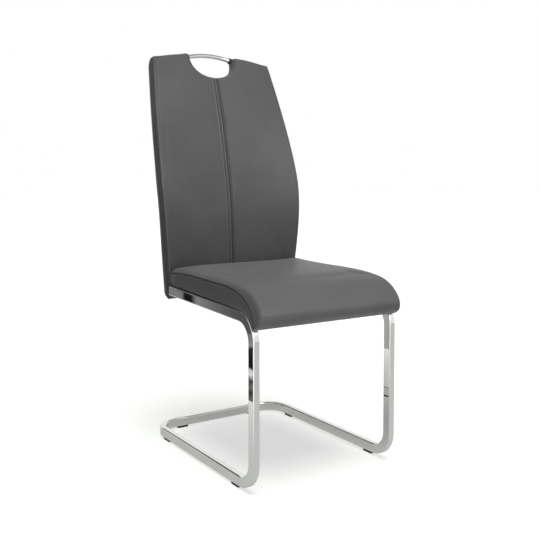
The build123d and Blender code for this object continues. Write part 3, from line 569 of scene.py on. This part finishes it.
def build_seat():
    """Closed form of the padded seat, with flat ends at the rear and under the nose."""
    points, pins, shades = [], [], []
    for along, shrink in seat_sections():
        ring, pinned, shade = [], [], []
        for side in (1, -1):
            line, seam_at, level = seat_half_line(along, side)
            height = level + (line[:, 1] - level) * shrink
            half = seat_place(side * line[:, 0], np.full(len(line), along), height)
            # The cloth keeps both ends, the sides and the seams
            held = np.full(len(line), along < REAR_HELD or along > LENGTH - NOSE_HELD)
            held[:seam_at + 3] = True
            # Painted shade in the seam, beside it and underneath, and painted highlight on the ridges beside
            # it
            dark = np.zeros(len(line))
            dark[seam_at] = SEAM_PAINTED_SHADE
            dark[[seam_at - 1, seam_at + 1]] = BESIDE_PAINTED_SHADE
            dark[[seam_at - 3, seam_at + 3]] = RIDGE_PAINTED_HIGHLIGHT
            dark[:UNDER_POINTS] = UNDER_PAINTED_SHADE
            order = slice(None) if side > 0 else slice(-2, 0, -1)
            ring.append(half[order])
            pinned.append(held[order])
            shade.append(dark[order])
        points.append(np.concatenate(ring))
        pins.append(np.concatenate(pinned))
        shades.append(np.concatenate(shade))
    count = len(points[0])
    last = (len(points) - 1) * count
    faces = [tuple(range(count)), tuple(range(last, last + count))]
    for first in range(0, last, count):
        for c in range(count):
            a, b = first + c, first + (c + 1) % count
            faces.append((a, b, b + count, a + count))
    obj = make_mesh("seat_upholstery", np.concatenate(points), faces, painted_shading=np.concatenate(shades))
    pin(obj, np.concatenate(pins))
    return obj


def points_of(mesh, key):
    """Places or normals of a mesh's points as an array (points, 3)."""
    values = np.empty(len(mesh.vertices) * 3)
    mesh.vertices.foreach_get(key, values)
    return values.reshape(-1, 3)


def puff(obj, pressure, cap, frames=14):
    """Let the cover swell as cloth between its pinned seams, out by cap metres and in by a fifth of it."""
    mod = obj.modifiers.new("Cloth", "CLOTH")
    settings = mod.settings
    settings.vertex_group_mass = "pins"
    settings.use_pressure = True
    settings.uniform_pressure_force = pressure
    settings.tension_stiffness = settings.compression_stiffness = 40.0
    settings.shear_stiffness = 20.0
    settings.bending_stiffness = 3.0
    settings.effector_weights.gravity = 0.0
    mod.collision_settings.use_collision = False
    mod.point_cache.frame_start, mod.point_cache.frame_end = 1, frames
    for count in range(1, frames + 1):
        scene.frame_set(count)
    shaped = obj.evaluated_get(bpy.context.evaluated_depsgraph_get()).data
    old, normal = points_of(obj.data, "co"), points_of(obj.data, "normal")
    out = ((points_of(shaped, "co") - old) * normal).sum(1)
    limit = np.where(out > 0, cap, cap / 5)
    move = normal * (limit * np.tanh(out / limit))[:, None]
    obj.modifiers.remove(mod)
    obj.data.vertices.foreach_set("co", (old + move).ravel())
    obj.data.update()
    scene.frame_set(1)


# Cloth pressure, and the cap on its swell in metres
PRESSURE, SWELL_CAP = 4.0, 0.0025

back = build_back()
seat = build_seat()
for piece in (back, seat):
    tidy_mesh(piece)
    puff(piece, PRESSURE, SWELL_CAP)
    smooth = piece.modifiers.new("Subdivision", "SUBSURF")
    smooth.levels = 1
    smooth.render_levels = 1
    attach(piece, "root")
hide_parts("back_front_foam", "back_rear_foam", "back_cover")
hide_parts("seat_foam", "seat_cover")

# Planes over the grip's end blocks: up, rearward and outward parts of the normal, then w and s of a point
PLANES = ((1.0, 0.0, 0.19, 1.2, 0.0), (0.7, 0.7, 0.13, 1.2, -9.5), (0.7, -0.7, 0.13, 1.2, 2.5))
PLANE_U = 77.0


def planed_blocks():
    """Copy of the grip's end blocks, planed down so that the padding rolls over them."""
    bm = bmesh.new()
    bm.from_mesh(nodes["handle_blocks"].data)
    bmesh.ops.remove_doubles(bm, verts=bm.verts, dist=1e-6)
    for side in (-1, 1):
        for up, rearward, aside, at_w, at_s in PLANES:
            spot = lift(np.array(side * PLANE_U), np.array(at_w), np.array(at_s))
            rear_part, up_part = up * UP_Y + rearward * UP_Z, up * UP_Z - rearward * UP_Y
            normal = Vector((side * aside, rear_part, up_part)).normalized()
            near = [v for v in bm.verts if v.co.x * side > 0]
            lines = [e for e in bm.edges if e.verts[0].co.x * side > 0]
            sides = [f for f in bm.faces if f.verts[0].co.x * side > 0]
            cut = bmesh.ops.bisect_plane(bm, geom=near + lines + sides, dist=1e-6, plane_co=Vector(spot),
                                         plane_no=normal, clear_outer=True)
            rim = [e for e in cut["geom_cut"] if isinstance(e, bmesh.types.BMEdge)]
            bmesh.ops.triangle_fill(bm, edges=rim, use_beauty=True, use_dissolve=False)
    bmesh.ops.recalc_face_normals(bm, faces=bm.faces)
    mesh = bpy.data.meshes.new("grip_end_blocks")
    bm.to_mesh(mesh)
    bm.free()
    blocks = bpy.data.objects.new("grip_end_blocks", mesh)
    scene.collection.objects.link(blocks)
    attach(blocks, "root")
    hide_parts("handle_blocks")
    return blocks


grip_blocks = planed_blocks()

# Stitches, in metres: distance between them, length and radius
STITCH_PITCH, STITCH_LENGTH, STITCH_R = 0.006, 0.0043, 0.00042
STITCH_SIDES = 6
# Rings of a stitch: share of its length, share of its radius and rise in radii
STITCH_RINGS = ((0.0, 0.4, -0.6), (0.16, 0.95, 0.3), (0.5, 1.0, 0.6), (0.84, 0.95, 0.3), (1.0, 0.4, -0.6))


def stitch(start, end, normal, first):
    """Points and faces of one stitch between two spots on a cover; first is the index of its first point."""
    way = (end - start).normalized()
    side = way.cross(normal).normalized()
    up = side.cross(way)
    points, faces = [], []
    for share, size, rise in STITCH_RINGS:
        middle = start.lerp(end, share) + up * rise * STITCH_R
        for turn in np.linspace(0, 2 * np.pi, STITCH_SIDES, endpoint=False):
            points.append(middle + (side * math.cos(turn) + up * math.sin(turn)) * STITCH_R * size)
    last = first + len(points) - STITCH_SIDES
    for ring in range(first, last, STITCH_SIDES):
        for k in range(STITCH_SIDES):
            a, b = ring + k, ring + (k + 1) % STITCH_SIDES
            faces.append((a, b, b + STITCH_SIDES, a + STITCH_SIDES))
    faces.append(tuple(reversed(range(first, first + STITCH_SIDES))))
    faces.append(tuple(range(last, last + STITCH_SIDES)))
    return points, faces


def sew(name, cover, lines):
    """Row of stitches along lines of points that lie near a cover."""
    surface = BVHTree.FromObject(cover, bpy.context.evaluated_depsgraph_get())
    points, faces = [], []
    for line in lines:
        length = np.concatenate([[0], np.cumsum(np.linalg.norm(np.diff(line, axis=0), axis=1))])
        for count in range(int(length[-1] / STITCH_PITCH)):
            ends = []
            for half in (-STITCH_LENGTH / 2, STITCH_LENGTH / 2):
                at = (count + 0.5) * STITCH_PITCH + half
                near = Vector([np.interp(at, length, line[:, k]) for k in range(3)])
                spot, normal, _, _ = surface.find_nearest(near)
                ends.append(spot)
            new_points, new_faces = stitch(*ends, normal, len(points))
            points += new_points
            faces += new_faces
    stitches = make_mesh(name, points, faces)
    tidy_mesh(stitches, 1e-7)
    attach(stitches, "root")
    return stitches


def back_line(u, w):
    """Points on the front of the back along grip plane coordinates."""
    return lift(u, w, onto(u, w, front_y, FRONT_S))


def back_rows():
    """Stitch rows: both sides of the centre seam, down the side edges and along the top."""
    left_row, right_row, side_in, top_in = -13.0, 9.0, 11.4, 13.0
    w = np.linspace(-632.0, -CUT_DEPTH - 17.0, 200)
    rows = [back_line(np.full(len(w), u), w) for u in (left_row, right_row)]
    w = np.linspace(-628.0, -16.0, 200)
    wide = half_width(BACK_TOP + w * UP_Z + FRONT_S * UP_Y) - side_in
    u = np.linspace(102.0, TOP_WIDTH / 2 - 16.0, 30)
    top = top_w(u) - top_in
    for side in (-1, 1):
        rows.append(back_line(side * wide, w + slope(side * wide, w)))
        rows.append(back_line(side * u, top + TOP_SLOPE * side * u))
    return rows


def seat_rows():
    """Stitch rows on the top panel, just above the side seams."""
    rows = []
    for side in (-1, 1):
        line = []
        for along in np.linspace(8.0, LENGTH - 6.0, 160):
            section, seam_at, _ = seat_half_line(along, side)
            x, height = section[seam_at + 4]
            line.append(seat_place(side * x, np.array(along), height))
        rows.append(np.array(line))
    return rows


stitching = [sew("back_stitching", back, back_rows()), sew("seat_stitching", seat, seat_rows())]

# Dust cloths: width that the cover returns underneath at the sides, the front and the foot of the back
SIDE_RETURN, FRONT_RETURN, FOOT_RETURN = 30.0, 20.0, 14.0
CLOTH_GAP, CLOTH_DROP = 0.3, 0.35
FOOT_WIDTH, FOOT_FRONT = 378.0, float(edge_y(BACK_BOTTOM)) + FOOT_RETURN
FOOT_DEPTH = FOOT_THICK + REAR_CROWN - 2 * FOOT_RETURN


def dust_cloth(name, place, width, length, node):
    """Thin cloth stretched flat under a padded piece, with faint ripples at its edges."""
    across, down = 48, 40
    high, fade, waves_across, waves_down = 0.12, 14, 60, 50
    points, faces = [], []
    for row in range(down + 1):
        for column in range(across + 1):
            a, b = column / across, row / down
            edge = min(a, 1 - a, b, 1 - b)
            waves = math.sin(waves_across * a) * math.sin(waves_down * b)
            ripple = high * math.exp(-edge * fade) * waves
            points.append(place((a - 0.5) * width, b * length, ripple))
    for row in range(down):
        for column in range(across):
            k = row * (across + 1) + column
            faces.append((k, k + 1, k + across + 2, k + across + 1))
    piece = make_mesh(name, points, faces)
    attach(piece, "root")
    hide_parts(node)
    return piece


def under_seat(x, y, rise):
    return seat_place(np.array(x), np.array(SIDE_RETURN + CLOTH_GAP + y), CLOTH_DROP + rise)


def under_back(x, y, rise):
    return np.array([x, FOOT_FRONT + CLOTH_GAP + y + SHIFT_Y, BACK_BOTTOM - CLOTH_DROP + rise]) / 1000.0


seat_cloth_width = REAR_WIDTH - 2 * SIDE_RETURN - 2 * CLOTH_GAP
seat_cloth_length = FLAT - SIDE_RETURN - FRONT_RETURN - 2 * CLOTH_GAP
back_cloth_width = FOOT_WIDTH - 2 * SIDE_RETURN - 2 * CLOTH_GAP
back_cloth_length = FOOT_DEPTH - 2 * CLOTH_GAP
cloths = [
    dust_cloth("seat_dust_cloth", under_seat, seat_cloth_width, seat_cloth_length,
               "seat_dust_cover"),
    dust_cloth("back_dust_cloth", under_back, back_cloth_width, back_cloth_length,
               "back_base_cloth"),
]


# Materials
def new_material(name):
    mat = bpy.data.materials.new(name)
    mat.use_nodes = True
    tree = mat.node_tree
    return mat, tree, tree.nodes["Principled BSDF"]


def link(tree, a, b):
    tree.links.new(a, b)


def add(tree, kind, **inputs):
    """New node; each value goes to the input of that name, or else to the setting of that name."""
    node = tree.nodes.new(kind)
    for key, value in inputs.items():
        if key in node.inputs:
            node.inputs[key].default_value = value
        else:
            setattr(node, key, value)
    return node


def texture(tree, kind, **inputs):
    """Texture node in the object's own coordinates."""
    node = add(tree, kind, **inputs)
    link(tree, tree.nodes.new("ShaderNodeTexCoord").outputs["Object"], node.inputs["Vector"])
    return node


def ramp(tree, fac, stops):
    node = tree.nodes.new("ShaderNodeValToRGB")
    node.color_ramp.elements[0].position, node.color_ramp.elements[0].color = stops[0]
    node.color_ramp.elements[1].position, node.color_ramp.elements[1].color = stops[-1]
    for position, colour in stops[1:-1]:
        node.color_ramp.elements.new(position).color = colour
    link(tree, fac, node.inputs["Fac"])
    return node.outputs["Color"]


def map_range(tree, value, low, high, to_low, to_high, **settings):
    """Value mapped from low and high to to_low and to_high."""
    node = add(tree, "ShaderNodeMapRange", **settings)
    for key, number in (("From Min", low), ("From Max", high), ("To Min", to_low), ("To Max", to_high)):
        node.inputs[key].default_value = number
    link(tree, value, node.inputs["Value"])
    return node.outputs["Result"]


def bump(tree, bsdf, height, strength, distance):
    node = add(tree, "ShaderNodeBump", Strength=strength, Distance=distance)
    link(tree, height, node.inputs["Height"])
    link(tree, node.outputs["Normal"], bsdf.inputs["Normal"])


def grey(v):
    return (v, v, v, 1.0)


def leather():
    """Grained leather with a cloudy tone, with painted shade in the seams and painted highlight on the ridges
    beside them.
    """
    mat, tree, bsdf = new_material("grey_leather")
    grain = texture(tree, "ShaderNodeTexVoronoi", Scale=620.0, feature="DISTANCE_TO_EDGE")
    pores = texture(tree, "ShaderNodeTexNoise", Scale=1500.0, Detail=2.0)
    cloud = texture(tree, "ShaderNodeTexNoise", Scale=9.0, Detail=3.0)
    dark, light = (0.130, 0.130, 0.131, 1), (0.150, 0.150, 0.151, 1)
    tone = ramp(tree, cloud.outputs["Fac"], [(0.3, dark), (0.7, light)])
    # The tone is darkened as painted shade in the seams and lightened as painted highlight on their ridges
    seam = add(tree, "ShaderNodeAttribute", attribute_name="painted_shading")
    shaded = add(tree, "ShaderNodeVectorMath", operation="SCALE")
    link(tree, tone, shaded.inputs[0])
    link(tree, map_range(tree, seam.outputs["Fac"], -0.5, 1.0, 1.30, 0.34), shaded.inputs["Scale"])
    link(tree, shaded.outputs["Vector"], bsdf.inputs["Base Color"])
    gloss = ramp(tree, pores.outputs["Fac"], [(0.3, grey(0.42)), (0.7, grey(0.52))])
    link(tree, gloss, bsdf.inputs["Roughness"])
    cells = ramp(tree, grain.outputs["Distance"], [(0.0, grey(0.0)), (0.28, grey(1.0))])
    bump(tree, bsdf, cells, 0.10, 0.0004)
    bsdf.inputs["Specular IOR Level"].default_value = 0.34
    return mat


def chrome():
    mat, tree, bsdf = new_material("chrome")
    haze = texture(tree, "ShaderNodeTexNoise", Scale=14.0, Detail=4.0)
    gloss = ramp(tree, haze.outputs["Fac"], [(0.35, grey(0.012)), (0.75, grey(0.035))])
    link(tree, gloss, bsdf.inputs["Roughness"])
    # The slight green of the tone is a painted reflection of the floor's green tint; the tone also varies at
    # random
    tone = ramp(tree, haze.outputs["Fac"], [(0.3, (0.85, 0.865, 0.84, 1)), (0.7, (0.90, 0.915, 0.89, 1))])
    link(tree, tone, bsdf.inputs["Base Color"])
    bsdf.inputs["Metallic"].default_value = 1.0
    return mat


def speckled(name, low, high, rough, scale, strength, metal=0.0):
    """Material with a fine noise in its tone, gloss and bump."""
    mat, tree, bsdf = new_material(name)
    noise = texture(tree, "ShaderNodeTexNoise", Scale=scale, Detail=3.0)
    tone = ramp(tree, noise.outputs["Fac"], [(0.3, low), (0.7, high)])
    link(tree, tone, bsdf.inputs["Base Color"])
    gloss = ramp(tree, noise.outputs["Fac"], [(0.3, grey(rough - 0.06)), (0.7, grey(rough + 0.06))])
    link(tree, gloss, bsdf.inputs["Roughness"])
    bump(tree, bsdf, noise.outputs["Fac"], strength, 0.0003)
    bsdf.inputs["Metallic"].default_value = metal
    return mat


def plywood():
    mat, tree, bsdf = new_material("plywood")
    stretch = texture(tree, "ShaderNodeMapping", Scale=(9.0, 90.0, 90.0))
    grain = add(tree, "ShaderNodeTexNoise", Scale=3.0, Detail=6.0, Distortion=0.6)
    link(tree, stretch.outputs["Vector"], grain.inputs["Vector"])
    tone = ramp(tree, grain.outputs["Fac"], [(0.3, (0.42, 0.29, 0.17, 1)), (0.7, (0.62, 0.46, 0.29, 1))])
    link(tree, tone, bsdf.inputs["Base Color"])
    bsdf.inputs["Roughness"].default_value = 0.7
    return mat


def cloth():
    mat, tree, bsdf = new_material("dust_cloth")
    weave = texture(tree, "ShaderNodeTexVoronoi", Scale=900.0)
    tone = ramp(tree, weave.outputs["Distance"], [(0.1, grey(0.018)), (0.7, grey(0.045))])
    link(tree, tone, bsdf.inputs["Base Color"])
    bump(tree, bsdf, weave.outputs["Distance"], 0.4, 0.0003)
    bsdf.inputs["Roughness"].default_value = 0.95
    return mat


LOOKS = {
    "grey_leather": leather(),
    "chrome": chrome(),
    "plywood": plywood(),
    "dust_cloth": cloth(),
    "black_plastic": speckled("black_plastic", grey(0.010), grey(0.020), 0.45, 900.0, 0.12),
    "black_steel": speckled("black_steel", grey(0.020), grey(0.034), 0.5, 700.0, 0.18),
    "zinc_steel": speckled("zinc_steel", grey(0.42), grey(0.56), 0.32, 260.0, 0.05, metal=1.0),
}
THREAD = speckled("grey_thread", grey(0.17), grey(0.25), 0.7, 2600.0, 0.3)
slots = {entry["node"]: entry["material_slot"] for entry in frame["record"]["subparts"]}
for name, obj in nodes.items():
    look = LOOKS.get(slots[name])
    if look is not None and obj.type == "MESH":
        obj.data.materials.clear()
        obj.data.materials.append(look)
for piece in (back, seat):
    piece.data.materials.append(LOOKS["grey_leather"])
for piece in stitching:
    piece.data.materials.append(THREAD)
grip_blocks.data.materials.append(LOOKS["plywood"])
for piece in cloths:
    piece.data.materials.append(LOOKS["dust_cloth"])

# Floor colours: as it lights the chair, as the camera sees it and as gloss mirrors it
FLOOR_LIT = (0.25, 0.254, 0.246, 1)
FLOOR_SEEN = (0.48, 0.50, 0.46, 1)
FLOOR_MIRRORED = (0.22, 0.223, 0.217, 1)
FLOOR_GLOW = 0.67
# In reflections the floor glows more towards the left: X and glow at both ends, in metres
GLOW_FAR, GLOW_NEAR = (-1.0, 0.95), (-0.32, 0.36)
# Glow of the room in reflections, by height
SKY = ((0.43, 0.86), (0.49, 0.02), (0.62, 0.03), (0.68, 0.36), (1.0, 0.40))


def mix_colours(tree, share, one, two):
    """Colour node that goes from one, a colour or a socket, to the colour two."""
    node = tree.nodes.new("ShaderNodeMix")
    node.data_type = "RGBA"
    link(tree, share, node.inputs[0])
    if isinstance(one, tuple):
        node.inputs[6].default_value = one
    else:
        link(tree, one, node.inputs[6])
    node.inputs[7].default_value = two
    return node.outputs[2]


def axes(tree, place):
    """Outputs X, Y and Z of a place."""
    split = tree.nodes.new("ShaderNodeSeparateXYZ")
    link(tree, place, split.inputs[0])
    return split.outputs


def floor_look():
    """White for the camera and dimmer in reflections, with the chair's shadow on it."""
    mat, tree, bsdf = new_material("floor")
    bsdf.inputs["Roughness"].default_value = 1.0
    bsdf.inputs["Specular IOR Level"].default_value = 0.0
    path = tree.nodes.new("ShaderNodeLightPath")
    seen = add(tree, "ShaderNodeMix")
    link(tree, path.outputs["Is Camera Ray"], seen.inputs[0])
    seen.inputs[2].default_value = 0.0
    seen.inputs[3].default_value = FLOOR_GLOW
    place = tree.nodes.new("ShaderNodeTexCoord").outputs["Object"]
    bright = map_range(tree, axes(tree, place)["X"], GLOW_FAR[0], GLOW_NEAR[0], GLOW_FAR[1], GLOW_NEAR[1],
                       interpolation_type="SMOOTHSTEP")
    shine = add(tree, "ShaderNodeMath", operation="MULTIPLY_ADD")
    link(tree, path.outputs["Is Glossy Ray"], shine.inputs[0])
    link(tree, bright, shine.inputs[1])
    link(tree, seen.outputs[0], shine.inputs[2])
    bsdf.inputs["Emission Color"].default_value = grey(1.0)
    link(tree, shine.outputs[0], bsdf.inputs["Emission Strength"])
    tone = mix_colours(tree, path.outputs["Is Camera Ray"], FLOOR_LIT, FLOOR_SEEN)
    tone = mix_colours(tree, path.outputs["Is Glossy Ray"], tone, FLOOR_MIRRORED)
    link(tree, tone, bsdf.inputs["Base Color"])
    return mat


def studio():
    """World: white for the camera, bands of light and dark in reflections, no light of its own."""
    world = bpy.data.worlds.new("studio")
    world.use_nodes = True
    tree = world.node_tree
    way = tree.nodes.new("ShaderNodeTexCoord").outputs["Generated"]
    above = ramp(tree, axes(tree, way)["Z"], [(height, grey(value)) for height, value in SKY])
    path = tree.nodes.new("ShaderNodeLightPath")
    room = add(tree, "ShaderNodeMix")
    link(tree, path.outputs["Is Glossy Ray"], room.inputs[0])
    room.inputs[2].default_value = 0.0
    link(tree, above, room.inputs[3])
    clear = add(tree, "ShaderNodeMath", operation="MAXIMUM")
    link(tree, path.outputs["Is Camera Ray"], clear.inputs[0])
    link(tree, path.outputs["Is Transmission Ray"], clear.inputs[1])
    level = add(tree, "ShaderNodeMix")
    link(tree, clear.outputs[0], level.inputs[0])
    link(tree, room.outputs[0], level.inputs[2])
    level.inputs[3].default_value = 1.0
    shade = tree.nodes["Background"]
    shade.inputs["Color"].default_value = grey(1.0)
    link(tree, level.outputs[0], shade.inputs["Strength"])
    return world


FLOOR_HALF = 30.0
floor_corners = [(x * FLOOR_HALF, y * FLOOR_HALF, 0) for x, y in ((-1, -1), (1, -1), (1, 1), (-1, 1))]
floor = make_mesh("floor", floor_corners, [(0, 1, 2, 3)], smooth=False)
floor.data.materials.append(floor_look())
scene.world = studio()

# Cards, in metres: their X, the shift of their glow by noise, and glow by share of their length
CARD_X, CARD_NOISE = -0.54, 0.03
LEG_STOPS = ((0.0, 0.14), (0.12, 0.12), (0.2, 0.04), (0.3, 0.16), (0.4, 0.05), (0.47, 0.75), (0.53, 0.6),
             (0.57, 0.01), (0.86, 0.02), (0.92, 0.3), (1.0, 0.2))
FAR_STOPS = ((0.0, 0.36), (0.5, 0.48), (1.0, 0.6))
RAIL_STOPS = ((0.0, 0.06), (0.30, 0.09), (0.40, 0.17), (0.458, 0.24), (0.487, 0.01), (0.52, 0.01),
              (0.535, 0.2), (1.0, 0.3))


def card(name, near, far, low, high, axis, stops):
    """Upright card at the left that only shows in gloss; its glow follows stops along its Y or Z axis."""
    corners = [(CARD_X, near, low), (CARD_X, far, low), (CARD_X, far, high), (CARD_X, near, high)]
    board = make_mesh(name, corners, [(0, 1, 2, 3)], smooth=False)
    mat, tree, bsdf = new_material(name)
    bsdf.inputs["Base Color"].default_value = grey(0.0)
    bsdf.inputs["Roughness"].default_value = 1.0
    bsdf.inputs["Specular IOR Level"].default_value = 0.0
    place = tree.nodes.new("ShaderNodeTexCoord").outputs["Object"]
    noise = texture(tree, "ShaderNodeTexNoise", Scale=22.0, Detail=2.0)
    shifted = add(tree, "ShaderNodeMath", operation="MULTIPLY_ADD")
    link(tree, noise.outputs["Fac"], shifted.inputs[0])
    shifted.inputs[1].default_value = CARD_NOISE
    link(tree, axes(tree, place)[axis], shifted.inputs[2])
    start, end = (near, far) if axis == "Y" else (low, high)
    share = map_range(tree, shifted.outputs[0], start, end, 0.0, 1.0)
    glows = [(position, grey(value)) for position, value in stops]
    link(tree, ramp(tree, share, glows), bsdf.inputs["Emission Color"])
    bsdf.inputs["Emission Strength"].default_value = 1.0
    board.data.materials.append(mat)
    board.visible_camera = board.visible_diffuse = board.visible_shadow = False


card("leg_card", -0.05, 0.42, 0.018, 0.22, "Z", LEG_STOPS)
card("far_card", 0.42, 1.45, 0.035, 0.22, "Y", FAR_STOPS)
card("rail_card", -0.05, 1.45, 0.22, 1.1, "Y", RAIL_STOPS)


def sun(name, energy, angle, turn, rise):
    """Soft lamp from a side, turned to the left of the front and raised, in degrees."""
    lamp = bpy.data.lights.new(name, "SUN")
    lamp.energy = energy
    lamp.angle = math.radians(angle)
    holder = bpy.data.objects.new(name, lamp)
    turn, rise = math.radians(turn), math.radians(rise)
    to_light = Vector((-math.sin(turn) * math.cos(rise), -math.cos(turn) * math.cos(rise), math.sin(rise)))
    holder.rotation_euler = to_light.to_track_quat("Z", "Y").to_euler()
    scene.collection.objects.link(holder)
    return holder


def low_panel(name, x, y, energy):
    """Soft panel on the floor that lights the chair from below, out of sight."""
    lamp = bpy.data.lights.new(name, "AREA")
    lamp.shape = "RECTANGLE"
    lamp.size, lamp.size_y = 1.6, 1.0
    lamp.energy = energy
    holder = bpy.data.objects.new(name, lamp)
    holder.location = (x, y, 0.02)
    holder.rotation_euler = (math.radians(180.0), 0.0, 0.0)
    holder.visible_camera = holder.visible_glossy = False
    scene.collection.objects.link(holder)


# A broad key from above, a weak fill, a lamp that only gives sheen, and panels at the front and the rear
sun("key", energy=2.98, angle=36.0, turn=8.0, rise=78.0).visible_glossy = False
sun("fill", energy=0.12, angle=40.0, turn=-15.0, rise=32.0)
sun("sheen", energy=0.95, angle=34.0, turn=-10.0, rise=30.0).visible_diffuse = False
low_panel("front_panel", x=-0.3, y=-1.25, energy=12.0)
low_panel("rear_panel", x=0.0, y=1.45, energy=26.0)

# Camera: place in metres, focal length in pixels of a square picture, angles in degrees
CAMERA_AT, CAMERA_DOWN, CAMERA_TURN = (-1.0389, -1.6266, 0.6769), 3.0, -33.2
FOCAL_PIXELS, PICTURE_PIXELS, SENSOR = 758.8, 540.0, 36.0
camera = bpy.data.cameras.new("camera")
camera.sensor_width = SENSOR
camera.lens = FOCAL_PIXELS / PICTURE_PIXELS * SENSOR
camera.shift_y = -0.0912
camera.clip_start, camera.clip_end = 0.05, 100.0
camera_object = bpy.data.objects.new("camera", camera)
camera_object.location = CAMERA_AT
camera_object.rotation_euler = (math.radians(90.0 - CAMERA_DOWN), 0.0, math.radians(CAMERA_TURN))
scene.collection.objects.link(camera_object)
scene.camera = camera_object
scene.view_settings.view_transform = "Standard"
